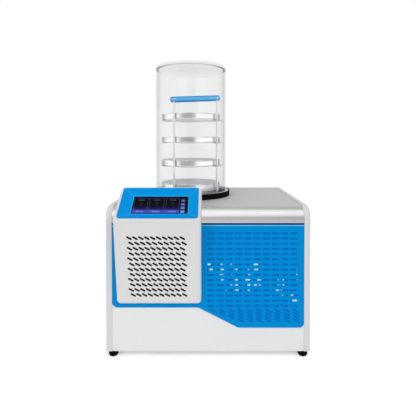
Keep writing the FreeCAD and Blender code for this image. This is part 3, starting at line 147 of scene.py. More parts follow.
class ConsoleSizes(bpy.types.PropertyGroup):
    foot_front: length("Front", "How far forward the console's lower edge stands", -0.218)
    crease_deep: length("Crease, forward", "Where the front meets the sloping face", -0.2609)
    crease_high: length("Crease, height", "Height of that crease", 0.4164)
    ridge_deep: length("Ridge, forward", "Where the sloping face meets the back", -0.1532)
    ridge_high: length("Ridge, height", "Height of that ridge", 0.4946)
    back_deep: length("Back, forward", "Where the back meets the steel cover", -0.114)
    seat_gap: length("Seat gap", "Gap between the shell's back and the steel cover", 0.0004)
    side_gap: length("Side gap", "Gap between the shell's sides and the steel cover", 0.0008)
    crease_bend: length("Crease bend", "Radius of the crease", 0.005)
    ridge_bend: length("Ridge bend", "Radius of the ridge", 0.009)
    edge: length("Edge", "Radius between the front and the sides", 0.0095)
    corner: length("Corner", "Radius of the lower corners seen from the front", 0.012)
    wall: length("Wall", "Thickness of the moulded wall", 0.003)
    vent_length: length("Vent length", "Length of a vent", 0.0178)
    vent_height: length("Vent height", "Width of a vent", 0.0057)
    vent_slant: angle("Vent slant", "Fall of the vents", 30)
    vent_first: length("First vent", "Middle of the first vent of a row", -0.218)
    vent_top: length("Top vents", "Height of the top row of vents", 0.362)
    vent_stagger: length("Stagger", "Sideways shift of alternate rows", 0.0024)
    vent_across: length("Vent pitch across", "Distance between vents of a row", 0.0165)
    vent_up: length("Vent pitch up", "Distance between rows of vents", 0.01565)
    vent_columns: count("Vent columns", "Vents in a row", 10)
    vent_rows: count("Vent rows", "Rows of vents", 12)


class BezelSizes(bpy.types.PropertyGroup):
    left: length("Left", "Left side of the bezel", -0.255)
    right: length("Right", "Right side of the bezel", -0.0278)
    low: length("Low", "Lower side, measured up the slope from the crease", 0.0034)
    high: length("High", "Upper side, measured up the slope from the crease", 0.1235)
    corner: length("Corner", "Radius of its lower corners", 0.009)
    top_corner: length("Top corner", "Radius of its upper corners", 0.0055)
    proud: length("Proud", "How far the rim stands above the slope", 0.0029)
    rim: length("Rim", "Width of the rim", 0.0044)
    rim_edge: length("Rim edge", "Radius of the rim's outer edge", 0.001)
    mitre: length("Mitre", "Radius along the mitres of the funnel", 0.0008)
    deep: length("Deep", "How far the bezel reaches under the slope", 0.0074)
    lift: length("Lift", "Height of the rim's underside over the slope", 0.0004)
    tub_gap: length("Tub gap", "Gap round the part under the slope", 0.0006)
    tub_corner: length("Tub corner", "Radius of the corners of that part", 0.002)
    screen_left: length("Screen left", "Left side of the screen's window", -0.2196)
    screen_right: length("Screen right", "Right side of the screen's window", -0.0578)
    screen_low: length("Screen low", "Lower side of the window, up the slope", 0.0250)
    screen_high: length("Screen high", "Upper side of the window, up the slope", 0.0935)
    screen_deep: length("Screen deep", "How far the glass lies under the slope", 0.0043)
    screen_thick: length("Screen thickness", "Thickness of the cover glass", 0.0026)
    screen_gap: length("Screen gap", "Gap round the cover glass", 0.0004)
    screen_corner: length("Screen corner", "Radius of the cover glass's corners", 0.001)
    screen_edge: length("Screen edge", "Radius along the cover glass's edge", 0.0004)


class JarSizes(bpy.types.PropertyGroup):
    wall: length("Wall", "Thickness of the jar's wall", 0.007)
    edge: length("Edge", "Radius along the edges of the wall, the lid and the ring", 0.0005)
    lid_round: length("Lid edge", "Radius of the lid's upper edge", 0.0072)
    joint: length("Joint", "Height of the glued joint under the lid", 0.0004)
    bead: length("Bead", "How far the glue runs in over the lid's underside", 0.002)
    seal_lip: length("Seal lip", "Thickness of the seal's upright lip", 0.0029)
    seal_inner: length("Seal inside", "Inner radius of the seal", 0.117)
    seal_rebate: length("Seal rebate", "Height of the step over the trap's flange", 0.0015)
    seal_gap: length("Seal gap", "Gap round the trap's flange", 0.0004)
    ring_gap: length("Ring gap", "Gap between the jar's wall and its foot ring", 0.0003)
    ring_proud: length("Ring inset", "How far the ring stays inside its room in the seal", 0.0014)
    ring_low: length("Ring drop", "How far the ring stays under the seal's lip", 0.0010)


class RackSizes(bpy.types.PropertyGroup):
    rod: length("Rod", "Radius of a rod", 0.004)
    rod_left_across: length("Left rod across", "Left rod from the jar's axis", -0.0522)
    rod_left_deep: length("Left rod forward", "Left rod from the jar's axis", -0.093)
    rod_right_across: length("Right rod across", "Right rod from the jar's axis", 0.0926)
    rod_right_deep: length("Right rod forward", "Right rod from the jar's axis", -0.055)
    handle: length("Handle", "Radius of the handle", 0.0101)
    handle_over: length("Handle overhang", "Handle beyond each rod's axis", 0.0126)
    handle_shift: length("Handle shift", "How far the handle is set to the left", 0.0012)
    handle_inset: length("Handle inset", "How far it is set in from the rods", 0.003)
    handle_tilt: angle("Handle tilt", "How far the handle is out of level", 3.6)
    pin: length("Pin", "Radius of the pin heads in the handle", 0.0022)
    pin_high: length("Pin height", "Height of a pin's domed head", 0.0009)
    tray_corner: length("Tray corner", "Radius of a tray's lower edge", 0.004)
    tray_sheet: length("Tray sheet", "Thickness of a tray", 0.001)
    tray_bead: length("Tray bead", "Height of the bead round a tray's rim", 0.003)
    tray_step: length("Tray step", "How far that bead stands out", 0.0015)


class Colours(bpy.types.PropertyGroup):
    cabinet: tint("Cabinet", "Powder coat of the skirt and rear panel", (0.78, 0.78, 0.78))
    cheek: tint("Cheeks", "Moulded cheeks at both sides", (0.67, 0.67, 0.665))
    console: tint("Console", "Moulded console", (0.72, 0.72, 0.72))
    grille: tint("Grille", "Paint of the slotted panel", (0.0002, 0.252, 0.645))
    # The rail's colour is darkened blue: painted shade for the gap above the grille's top edge.
    rail: tint("Rail", "Paint of the rail behind the grille's top edge", (0.001, 0.11, 0.30))
    filter: tint("Filter", "Fabric behind the slots", (0.001, 0.18, 0.66))
    bezel: tint("Bezel", "Moulded frame of the screen", (0.001, 0.284, 0.72))
    handle: tint("Handle", "Sleeve of the rack's handle", (0.001, 0.31, 0.80))
    steel: tint("Steel", "Satin stainless sheet", (0.62, 0.62, 0.625))
    polished: tint("Polished steel", "Trays and cold trap", (0.78, 0.78, 0.785))
    # shelf: the colour the bands take towards their sides, darker than along their front.
    shelf: tint("Shelf steel", "Shelves and their lugs, tumbled dull", (0.36, 0.36, 0.365))
    rod: tint("Rod steel", "Drawn rods of the rack", (0.74, 0.74, 0.745))
    # ring: steel tinted mauve; the tint is painted reflection.
    ring: tint("Ring steel", "The jar's foot ring", (0.78, 0.76, 0.86))
    acrylic: tint("Acrylic", "Jar wall and lid", (0.932, 0.932, 0.934))
    rubber: tint("Rubber", "Seal and feet", (0.003, 0.003, 0.0035))


GROUPS = (CabinetSizes, GrilleSizes, ConsoleSizes, BezelSizes, JarSizes, RackSizes, Colours)


def holder(group):
    """The name of the scene's property that holds a group."""
    return "dryer_" + group.__name__.lower()


def settings(group):
    """The values that the scene holds for one of the groups above."""
    return getattr(bpy.context.scene, holder(group))


class Box:
    """A CAD node's box, by its sides and its middle."""

    def __init__(self, node):
        low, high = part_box(node)
        self.left, self.front, self.base = low
        self.right, self.rear, self.top = high
        self.middle = (low + high) / 2


# ---------------------------------------------------------------------------------------------
# Outlines and surfaces


def rounded(corners, inset=0.0, steps=7, closed=True):
    """Points and left-hand normals along straight sides whose corners are arcs.

    A corner is (across, up, radius). Each side moves to its left by the inset. A corner's arc
    is centre - radius * normal, where the normal turns evenly from one side's to the next's.
    """
    corners = np.asarray(corners, float)
    place, radius = corners[:, :2], corners[:, 2]
    side = np.roll(place, -1, axis=0) - place
    side /= np.linalg.norm(side, axis=1)[:, None]
    leaving = np.column_stack((-side[:, 1], side[:, 0]))
    arriving = np.roll(leaving, 1, axis=0)
    if not closed:
        arriving[0], leaving[-1] = leaving[0], arriving[-1]
    cross = arriving[:, 0] * leaving[:, 1] - arriving[:, 1] * leaving[:, 0]
    dot = (arriving * leaving).sum(axis=1)
    turn, bend = np.arctan2(cross, dot), np.sign(cross)
    left = np.maximum(radius - bend * inset, TINY)
    mitre = (arriving + leaving) / (1 + dot)[:, None]
    centre = place + mitre * (inset + bend * left)[:, None]
    swing = turn[:, None] * np.linspace(0, 1, steps)
    cosine, sine = np.cos(swing), np.sin(swing)
    x, y = arriving[:, :1], arriving[:, 1:]
    normal = np.stack((x * cosine - y * sine, x * sine + y * cosine), axis=-1)
    points = centre[:, None] - (bend * left)[:, None, None] * normal
    points, normal = points.reshape(-1, 2), normal.reshape(-1, 2)
    if not closed:
        points, normal = points[steps - 1:1 - steps], normal[steps - 1:1 - steps]
    return points, normal


def rectangle(left, low, right, high, radius=TINY):
    """The corners of a rectangle with one radius, anticlockwise from its lower left."""
    return [(left, low, radius), (right, low, radius), (right, high, radius), (left, high, radius)]


def quarter(radius, steps=6):
    """(inset, drop) pairs along a quarter round, from the side wall up to the face."""
    swing = np.linspace(0, np.pi / 2, steps)
    return list(zip(radius * (1 - np.cos(swing)), radius * (1 - np.sin(swing))))


def stacked(levels, steps=7):
    """Rings joined in order: a level is (corners, inset, lift), and a point (across, up, lift)."""
    rings = []
    for corners, inset, lift in levels:
        ring = rounded(corners, inset, steps)[0]
        rings.append(np.column_stack((ring, np.full(len(ring), lift))))
    return np.stack(rings)


def spun(profile, turns=96):
    """A profile of (radius, height) carried round the upright axis through the origin.

    x = radius cos a, y = radius sin a, z = height, for evenly spaced angles a.
    """
    swing = np.linspace(0, 2 * np.pi, turns, endpoint=False)
    radius, height = profile[:, :1], profile[:, 1:]
    return np.stack((radius * np.cos(swing), radius * np.sin(swing),
                     height + 0 * swing), axis=-1)


def slots(across, up, long, high, slant=0.0, steps=6):
    """Rings round slots: half circles about two points, joined by straight sides."""
    half = np.linspace(-np.pi / 2, np.pi / 2, steps)
    swing = np.concatenate((half, half + np.pi))
    reach = (long - high) / 2 * np.repeat((1, -1), steps)
    along, over = reach + high / 2 * np.cos(swing), high / 2 * np.sin(swing)
    cosine, sine = math.cos(slant), math.sin(slant)
    return np.stack((across[:, None] + along * cosine - over * sine,
                     up[:, None] + along * sine + over * cosine), axis=-1)


def lattice(first_across, first_up, pitch_across, pitch_up, columns, rows):
    """Places of evenly spaced columns and rows, as two flat arrays."""
    column, row = np.meshgrid(np.arange(columns), np.arange(rows))
    return ((first_across + pitch_across * column).ravel(),
            (first_up + pitch_up * row).ravel())


def cut_flat(border, holes, folds=()):
    """Points and triangles of a flat sheet inside its border and outside its holes.

    A fold is a height at which a line of edges crosses the sheet.
    """
    rings = [border, *holes]
    starts = np.cumsum([0] + [len(ring) for ring in rings])
    faces = [list(range(first, last)) for first, last in zip(starts, starts[1:])]
    left, right = border[:, 0].min() - 0.01, border[:, 0].max() + 0.01
    ends = [(side, fold) for fold in folds for side in (left, right)]
    edges = [(starts[-1] + end, starts[-1] + end + 1) for end in range(0, len(ends), 2)]
    points = [Vector(point) for point in [*np.concatenate(rings), *ends]]
    found, _, triangles, _, _, parents = delaunay_2d_cdt(points, edges, faces, 1, 1e-7, True)
    kept = np.array([face for face, inside in zip(triangles, parents) if inside == [0]])
    used, renumbered = np.unique(kept, return_inverse=True)
    return np.array([tuple(found[number]) for number in used]), renumbered.reshape(-1, 3)


class Profile:
    """A bent sheet's section: a path of (forward, up) stations, known by the distance along it."""

    def __init__(self, corners, steps=9):
        self.corners, self.steps = np.asarray(corners)[:, :2], steps
        self.places, self.normals = rounded(corners, steps=steps, closed=False)
        runs = np.linalg.norm(np.diff(self.places, axis=0), axis=1)
        self.along = np.concatenate(([0], np.cumsum(runs)))

    def carry(self, flat, depth):
        """Carry flat points (across, along) to a depth under the path's left-hand side."""
        place, normal = self.at(flat[:, 1])
        return np.column_stack((flat[:, 0], place - depth * normal))

    def after(self, corner, distance):
        """How far along the path a point is that lies a distance past a corner's sharp point."""
        end = corner * self.steps
        return self.along[end] - np.linalg.norm(self.places[end] - self.corners[corner]) + distance

    def at(self, along):
        """Places and normals at distances along the path, straight between its stations."""
        def read(values):
            return np.stack([np.interp(along, self.along, values[:, k]) for k in (0, 1)], axis=-1)
        return read(self.places), read(self.normals)


class Skin:
    """Points and faces gathered for one piece."""

    def __init__(self):
        self.points, self.faces, self.kinds = np.empty((0, 3)), [], []

    def add(self, points, faces, kind=0):
        """Take faces over points of their own; kind is their material's number."""
        faces = np.asarray(faces) + len(self.points)
        self.points = np.concatenate((self.points, points.reshape(-1, 3)))
        self.faces += faces.tolist()
        self.kinds += [kind] * len(faces)
        return self

    def grid(self, points, around=False, over=False, kind=0):
        """Quads between neighbours of a (rows, columns, 3) grid, closed either way if asked."""
        rows, columns = points.shape[:2]
        number = np.arange(rows * columns).reshape(rows, columns)
        if around:
            number = np.column_stack((number, number[:, 0]))
        if over:
            number = np.vstack((number, number[0]))
        quads = np.stack((number[:-1, :-1], number[:-1, 1:], number[1:, 1:], number[1:, :-1]),
                         axis=-1)
        return self.add(points, quads.reshape(-1, 4), kind)

    def slab(self, points):
        """Rings joined in order, with a flat face over the first and the last."""
        self.grid(points, around=True)
        for ring in (points[0], points[-1]):
            self.add(ring, [list(range(len(ring)))])
        return self

    def build(self, name, finishes, slot, node, weighted=True):
        """Make the piece that stands for a node: seams joined, faces outwards, edges creased."""
        mesh = bpy.data.meshes.new(name)
        mesh.from_pydata(self.points.tolist(), [], self.faces)
        mesh.polygons.foreach_set("material_index", self.kinds)
        shape = bmesh.new()
        shape.from_mesh(mesh)
        bmesh.ops.remove_doubles(shape, verts=shape.verts, dist=WELD)
        bmesh.ops.recalc_face_normals(shape, faces=shape.faces)
        shape.to_mesh(mesh)
        shape.free()
        mesh.shade_smooth()
        mesh.set_sharp_from_angle(angle=CREASE)
        for finish in finishes:
            mesh.materials.append(finish)
        piece = bpy.data.objects.new(name, mesh)
        bpy.context.scene.collection.objects.link(piece)
        if weighted:
            normals = piece.modifiers.new("even_faces", "WEIGHTED_NORMAL")
            normals.keep_sharp = True
        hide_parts(node)
        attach(piece, "cabinet")
        return piece


# ---------------------------------------------------------------------------------------------
# Finishes


class Value:
    """A socket that numbers and other sockets can be added to, multiplied by and compared with."""

    def __init__(self, nodes, socket):
        self.nodes, self.socket = nodes, socket

    def math(self, operation, *others):
        """A Math node on this value, and on any others after it."""
        return self.nodes.math(operation, self, *others)

    def __add__(self, other):
        return self.math("ADD", other)

    def __sub__(self, other):
        return self.math("SUBTRACT", other)

    def __rsub__(self, other):
        return self.nodes.math("SUBTRACT", other, self)

    def __mul__(self, other):
        return self.math("MULTIPLY", other)

    def __truediv__(self, other):
        return self.math("DIVIDE", other)

    def __rtruediv__(self, other):
        return self.nodes.math("DIVIDE", other, self)

    def __pow__(self, other):
        return self.math("POWER", other)

    def __gt__(self, other):
        return self.math("GREATER_THAN", other)

    def __lt__(self, other):
        return self.math("LESS_THAN", other)

    def __abs__(self):
        return self.math("ABSOLUTE")

    __radd__, __rmul__ = __add__, __mul__

    def between(self, low, high):
        """1 from low to high, and 0 outside."""
        return (self > low) * (self < high)

    def toward(self, other, share):
        """This value where share is 0, the other where it is 1, and their mixture between."""
        return self + (other - self) * share

    def fade(self, low, high):
        """0 below low, 1 above high, and a smooth step between them; low may be the larger."""
        return self.nodes.node("ShaderNodeMapRange", {"interpolation_type": "SMOOTHSTEP"},
                               {"Value": self, "From Min": low, "From Max": high})


class Nodes:
    """The nodes of a material or of the world."""

    def __init__(self, owner):
        owner.use_nodes = True
        self.owner, self.tree = owner, owner.node_tree
        self.tree.nodes.clear()

    def node(self, kind, chosen=(), inputs=(), output=0):
        """Add a node: its settings first, then its sockets' values or links; gives an output."""
        made = self.tree.nodes.new(kind)
        for name, value in dict(chosen).items():
            setattr(made, name, value)
        for key, value in inputs.items() if isinstance(inputs, dict) else enumerate(inputs):
            if isinstance(value, Value):
                self.tree.links.new(value.socket, made.inputs[key])
            else:
                made.inputs[key].default_value = value
        return Value(self, made.outputs[output]) if made.outputs else None

    def math(self, operation, *values):
        """A Math node on values and numbers."""
        return self.node("ShaderNodeMath", {"operation": operation}, values)

    def place(self, *stretch):
        """Object coordinates, stretched by three factors if they are given."""
        here = self.node("ShaderNodeTexCoord", output="Object")
        if not stretch:
            return here
        return self.node("ShaderNodeMapping", inputs={"Vector": here, "Scale": stretch})

    def part(self, vector, axis):
        """A vector's part along an axis: 0 across, 1 forward to rearward, 2 up."""
        return self.node("ShaderNodeSeparateXYZ", inputs=[vector], output=axis)

    def ray(self, word):
        """What the light path says of a ray, in the words of that node's outputs."""
        return self.node("ShaderNodeLightPath", output=word)

    def noise(self, scale, detail=2.0, roughness=0.5):
        """Fractal noise from 0 to 1, with about so many lumps a metre."""
        return self.node("ShaderNodeTexNoise", inputs={
            "Vector": self.place(), "Scale": scale, "Detail": detail, "Roughness": roughness})

    def lines(self, *stretch, detail=3.0, roughness=0.6):
        """Noise with so many lumps a metre along x, y and z: lines along the axis with fewest."""
        return self.node("ShaderNodeTexNoise", inputs={
            "Vector": self.place(*stretch), "Scale": 1.0, "Detail": detail,
            "Roughness": roughness})

    def mix(self, share, first, second):
        """Two colours, mixed by a share from 0 to 1."""
        return self.node("ShaderNodeMix", {"data_type": "RGBA"},
                         {0: share, 6: shade(first), 7: shade(second)}, output=2)

    def bump(self, height, distance, strength):
        """A normal tipped by a height from 0 to 1, over a distance in metres."""
        return self.node("ShaderNodeBump", inputs={
            "Height": height, "Distance": distance, "Strength": strength})

    def principled(self, colour, **inputs):
        """The surface itself; an input's name is written with _ for its spaces."""
        named = {name.replace("_", " "): value for name, value in inputs.items()}
        return self.node("ShaderNodeBsdfPrincipled",
                         inputs={"Base Color": shade(colour), **named})

    def end(self, surface, volume=None):
        """Join the output to its surface, and to its volume if it has one; gives the owner."""
        inputs = {"Surface": surface, **({"Volume": volume} if volume else {})}
        self.node("ShaderNodeOutputMaterial", inputs=inputs)
        return self.owner


def shade(colour, level=1.0):
    """A colour for a socket: a socket's value stays, and three numbers get their alpha."""
    return colour if isinstance(colour, Value) else (*(level * part for part in colour[:3]), 1.0)


def finish(maker):
    """Make a maker's material once, and give the same one again after that."""
    def found(*args):
        name = "_".join((maker.__name__, *(str(word) for word in args)))
        known = bpy.data.materials.get(name)
        return known or maker(Nodes(bpy.data.materials.new(name)), *args)
    return found


def tints(name):
    """A colour of the panel's list, and the same a little darker, for a slow mottling."""
    colour = getattr(settings(Colours), name)
    return shade(colour), shade(colour, 0.965)


@finish
def powder_coat(nodes, name):
    """Baked powder paint: fine orange peel, barely mottled."""
    peel = nodes.noise(1100, 1.5)
    return nodes.end(nodes.principled(
        nodes.mix(nodes.noise(7, 3), *tints(name)),
        Roughness=0.42 + 0.08 * nodes.noise(60, 3), Specular_IOR_Level=0.10,
        Normal=nodes.bump(peel, 0.00006, 0.5)))


@finish
def blue_paint(nodes, name):
    """Satin blue powder paint, with a painted highlight along a line and painted shade over the
    rolled top edge.
    """
    under = Box("front_grille").top - nodes.part(nodes.place(), 2)
    # Painted highlight: a pale line just under the top edge. Painted shade: darker above it.
    painted_highlight = under.fade(0.0064, 0.0058) * under.fade(0.0038, 0.0042)
    painted_shade = under.fade(0.0044, 0.0040)
    paint = nodes.mix(painted_highlight, nodes.mix(nodes.noise(9, 3), *tints(name)), (0.22, 0.58, 0.86))
    return nodes.end(nodes.principled(
        nodes.mix(painted_shade, paint, (0.003, 0.12, 0.32)),
        Roughness=0.46 + 0.08 * nodes.noise(80, 2), Specular_IOR_Level=0.02,
        Normal=nodes.bump(nodes.noise(1300, 1.5), 0.00005, 0.5)))


def etched(nodes, colour, gloss):
    """Satin blue moulding with a fine etched grain."""
    return nodes.end(nodes.principled(
        colour, Roughness=0.38 + 0.08 * nodes.noise(80, 2), Specular_IOR_Level=gloss,
        Normal=nodes.bump(nodes.noise(2400, 2), 0.00003, 0.4)))


@finish
def grip_sleeve(nodes):
    """The handle's sleeve, with a painted highlight: paler along the middle of its height on
    either side.
    """
    sizes, box = settings(RackSizes), Box("rack_handle")
    here = nodes.place()
    across, up = nodes.part(here, 0), nodes.part(here, 2)
    off = up - (box.middle.z + math.tan(sizes.handle_tilt) * (across - box.middle.x))
    # Painted highlight: paler along the sleeve's middle height, front and back.
    painted_highlight = abs(off).fade(0.0068, 0.0022)
    plain = nodes.mix(nodes.noise(9, 3), *tints("handle"))
    highlight_tint = nodes.mix(nodes.noise(60, 3), (0.10, 0.58, 0.93), (0.08, 0.55, 0.91))
    return etched(nodes, nodes.mix(painted_highlight, plain, highlight_tint), 0.03)


@finish
def bezel_moulding(nodes):
    """The bezel's moulding, with painted highlights along its mitres and round the glass.

    A mitre runs where a point is the same share of the funnel's width away from the glass
    sideways as along the slope.
    """
    sizes = settings(BezelSizes)
    across, up = nodes.part(nodes.place(), 0), Slope().risen(nodes)

    def beyond(value, low, high, outer_low, outer_high):
        """Distance outside a span of the glass, and the same as a share of the funnel's width."""
        under, over = low - value, value - high
        share = (under / (low - outer_low - sizes.rim)).math(
            "MAXIMUM", over / (outer_high - sizes.rim - high))
        return under.math("MAXIMUM", over), share

    aside, share_aside = beyond(across, sizes.screen_left, sizes.screen_right, sizes.left,
                                sizes.right)
    along, share_along = beyond(up, sizes.screen_low, sizes.screen_high, sizes.low, sizes.high)
    # Painted highlights: pale lines along the mitres (mitre), and a pale band round the glass
    # (lip).
    mitre = abs(share_aside - share_along).fade(0.075, 0.03) * (share_aside > 0.06)
    lip = aside.math("MAXIMUM", along).fade(0.0030, 0.0016)
    plain = nodes.mix(nodes.noise(9, 3), *tints("bezel"))
    mitre_highlighted = nodes.mix(0.28 * mitre, plain, (0.10, 0.58, 0.95))
    return etched(nodes, nodes.mix(0.55 * lip, mitre_highlighted, (0.03, 0.54, 0.98)), 0.02)


@finish
def moulded_plastic(nodes):
    """The console's injection moulding, with a fine etched grain."""
    grain = nodes.noise(2600, 2) * 0.7 + nodes.noise(700, 2) * 0.3
    return nodes.end(nodes.principled(
        nodes.mix(nodes.noise(5, 2), *tints("console")),
        Roughness=0.44 + 0.06 * nodes.noise(90, 2), Specular_IOR_Level=0.12,
        Normal=nodes.bump(grain, 0.00004, 0.5)))


@finish
def satin_steel(nodes, name, along):
    """Rolled or turned stainless: fine lines along one axis, which vary its gloss."""
    lines = nodes.lines(*(6.0 if axis == along else 900.0 for axis in "xyz"))
    cloud = nodes.noise(8, 3)
    light, dark = tints(name)
    return nodes.end(nodes.principled(
        nodes.mix(0.7 * lines + 0.3 * cloud, light, shade(dark, 0.93)), Metallic=1.0,
        Roughness=0.24 + 0.12 * lines + 0.06 * cloud,
        Normal=nodes.bump(lines, 0.00001, 0.35)))


@finish
def shelf_steel(nodes):
    """A shelf's pressed band, bright along its front and darker towards its sides."""
    lines = nodes.lines(6, 900, 900)
    aside = abs(nodes.part(nodes.place(), 0) - Box("jar_wall").middle.x)
    dull = aside.fade(0.070, 0.092)
    return nodes.end(nodes.principled(
        nodes.mix(dull, tints("polished")[0], tints("shelf")[0]), Metallic=1.0,
        Roughness=0.26 + 0.12 * lines, Normal=nodes.bump(lines, 0.00001, 0.35)))


@finish
def rolled_steel(nodes):
    """Satin sheet with fine lines along x, smoothed where it was rolled round its front bend."""
    lines = nodes.lines(6, 900, 900)
    cloud = nodes.noise(8, 3)
    behind = nodes.part(nodes.place(), 1) - Box("steel_top_cover").front
    flat = behind.fade(0.008, 0.040)
    light, dark = tints("steel")
    return nodes.end(nodes.principled(
        nodes.mix(0.7 * lines + 0.3 * cloud, light, shade(dark, 0.93)),
        Metallic=1.0 - 0.70 * flat, Specular_IOR_Level=0.2,
        Roughness=0.10 + 0.03 * lines + flat * (0.39 + 0.08 * cloud),
        Normal=nodes.bump(lines, 0.00001, 0.3)))


def drawn_steel(nodes):
    """Drawn bright sheet: its colour, its roughness, and a bump of faint upright draw lines."""
    haze, lines = nodes.noise(20, 4), nodes.lines(500, 500, 12, detail=2.0, roughness=0.5)
    return (nodes.mix(haze, *tints("polished")), 0.19 + 0.08 * haze + 0.05 * lines,
            nodes.bump(lines, 0.00001, 0.3))


@finish
def polished_steel(nodes):
    """Drawn bright stainless with a soft haze."""
    colour, roughness, normal = drawn_steel(nodes)
    return nodes.end(nodes.principled(
        colour, Metallic=1.0, Roughness=roughness, Normal=normal))


@finish
def tray_steel(nodes):
    """Drawn bright stainless, matt inside a tray's wall and painted pale there: painted light over
    the shade inside.
    """
    colour, roughness, normal = drawn_steel(nodes)
    here, tray, sizes = nodes.place(), Box("tray_1"), settings(RackSizes)
    across, deep = nodes.part(here, 0) - tray.middle.x, nodes.part(here, 1) - tray.middle.y
    inner = tray.right - tray.middle.x - sizes.tray_step - sizes.tray_sheet
    # Painted light: the inside of the wall is made pale and matt.
    painted_pale_inside = (across * across + deep * deep) ** 0.5 < inner + 0.0004
    return nodes.end(nodes.principled(
        nodes.mix(painted_pale_inside, colour, (0.93, 0.93, 0.935)), Metallic=1.0 - 0.95 * painted_pale_inside,
        Roughness=roughness + 0.25 * painted_pale_inside, Specular_IOR_Level=0.3, Normal=normal))


@finish
def rubber(nodes):
    """Moulded black rubber with a dusty bloom."""
    bloom = nodes.noise(35, 4)
    light, dark = tints("rubber")
    return nodes.end(nodes.principled(
        nodes.mix(bloom.fade(0.4, 0.8), dark, shade(light, 1.4)),
        Roughness=0.62 + 0.2 * bloom, Specular_IOR_Level=0.05,
        Normal=nodes.bump(nodes.noise(1500, 2), 0.00005, 0.5)))


@finish
def acrylic(nodes):
    """Clear cast acrylic: polished, faintly hazed by handling, and greyer through its edges.

    Shadow and diffuse rays pass straight through it, so that what stands inside is lit.
    """
    smears = nodes.noise(11, 3).fade(0.5, 0.85)
    glass = nodes.principled(
        nodes.mix(smears, *tints("acrylic")), Roughness=0.0, IOR=1.003, Transmission_Weight=1.0,
        Coat_Weight=0.7 + 0.3 * smears, Coat_IOR=1.49, Coat_Roughness=0.02)
    clear = nodes.node("ShaderNodeBsdfTransparent", inputs={"Color": shade((0.94, 0.94, 0.945))})
    passing = nodes.ray("Is Shadow Ray").math("MAXIMUM", nodes.ray("Is Diffuse Ray"))
    through = nodes.node("ShaderNodeMixShader", inputs=[passing, glass, clear])
    inside = nodes.node("ShaderNodeVolumeAbsorption", inputs={
        "Color": shade((0.60, 0.60, 0.61)), "Density": 6.5})
    return nodes.end(through, inside)


@finish
def cement(nodes):
    """The glued joint under the lid: a thin grey film, cloudy where air was caught.

    It is made denser round the front of the lid, and most of all towards its sides: painted shade.
    """
    air = nodes.noise(90, 3)
    here, lid = nodes.place(), Box("jar_lid")
    sides = abs(nodes.part(here, 0) - lid.middle.x).fade(0.055, 0.112)
    # Painted shade: the grey film is denser towards the lid's front and sides.
    front = (nodes.part(here, 1) - lid.middle.y).fade(0.052, -0.013)
    shade_density = front * (0.45 + 0.55 * sides)
    return nodes.end(nodes.principled(
        nodes.mix(air, (0.02, 0.02, 0.022), (0.06, 0.06, 0.065)), Roughness=0.5 + 0.2 * air,
        Alpha=0.16 + 0.80 * shade_density))


@finish
def filter_fabric(nodes):
    """Fine blue mesh with painted glints: near-white specks that also glow, where the piece's
    attribute marks them.
    """
    here = nodes.place()
    across, up = (nodes.part(here, axis) * 2600 for axis in (0, 2))
    weave = across.math("SINE") * up.math("SINE")
    # Painted glints: near-white specks that glow by emission, though nothing there is a lamp.
    knots = nodes.node("ShaderNodeAttribute", {"attribute_name": "knots"}, output="Fac")
    knots = knots * (0.75 + 0.25 * nodes.noise(900, 2))
    light, dark = tints("filter")
    cloth = nodes.mix(0.5 + 0.5 * weave, shade(dark, 0.9), light)
    return nodes.end(nodes.principled(
        nodes.mix(knots, cloth, (0.90, 0.92, 0.92)),
        Roughness=0.8 - 0.3 * knots, Specular_IOR_Level=0.03,
        Emission_Color=nodes.mix(knots, (0.0, 0.0, 0.0), (0.80, 0.84, 0.84)),
        Emission_Strength=1.0, Normal=nodes.bump(weave, 0.0001, 0.4)))


METALS = {"zinc": (0.60, 0.61, 0.62), "brass": (0.70, 0.50, 0.20), "chrome": (0.66, 0.67, 0.68)}


@finish
def plated(nodes, name, spangle):
    """Zinc-plated steel with a spangle, or bare turned metal where the spangle is fine."""
    cells = nodes.node("ShaderNodeTexVoronoi", inputs={
        "Vector": nodes.place(), "Scale": spangle}, output="Color")
    flake = nodes.part(cells, 0)
    return nodes.end(nodes.principled(
        nodes.mix(flake, METALS[name], shade(METALS[name], 0.82)), Metallic=1.0,
        Roughness=0.30 + 0.15 * flake, Normal=nodes.bump(nodes.noise(400, 2), 0.00003, 0.3)))


@finish
def copper_tube(nodes):
    """Drawn copper, brown in patches where it was brazed and handled."""
    tarnish = nodes.noise(28, 4, 0.6).fade(0.42, 0.72)
    return nodes.end(nodes.principled(
        nodes.mix(tarnish, (0.80, 0.36, 0.20), (0.40, 0.16, 0.09)), Metallic=1.0,
        Roughness=0.24 + 0.3 * tarnish, Normal=nodes.bump(tarnish, 0.00004, 0.4)))


@finish
def black_enamel(nodes):
    """Thick black paint, glossy where it pooled."""
    pooled = nodes.noise(24, 3)
    return nodes.end(nodes.principled(
        nodes.mix(pooled, (0.012, 0.012, 0.013), (0.028, 0.028, 0.030)),
        Roughness=0.28 + 0.2 * pooled, Normal=nodes.bump(nodes.noise(260, 3), 0.00012, 0.4)))


@finish
def black_moulding(nodes):
    """Black moulded plastic with an etched grain."""
    return nodes.end(nodes.principled(
        nodes.mix(nodes.noise(14, 3), (0.014, 0.014, 0.015), (0.026, 0.026, 0.028)),
        Roughness=0.42 + 0.12 * nodes.noise(120, 2),
        Normal=nodes.bump(nodes.noise(2200, 2), 0.00005, 0.5)))


@finish
def shaded_black(nodes):
    """Painted shade: near-black rough plastic for the inner side of the moulding and its vents'
    walls.
    """
    rough = nodes.noise(160, 3)
    return nodes.end(nodes.principled(
        nodes.mix(rough, (0.0012, 0.0012, 0.0014), (0.0030, 0.0030, 0.0033)),
        Roughness=0.8 + 0.15 * rough, Specular_IOR_Level=0.02,
        Normal=nodes.bump(rough, 0.0001, 0.4)))


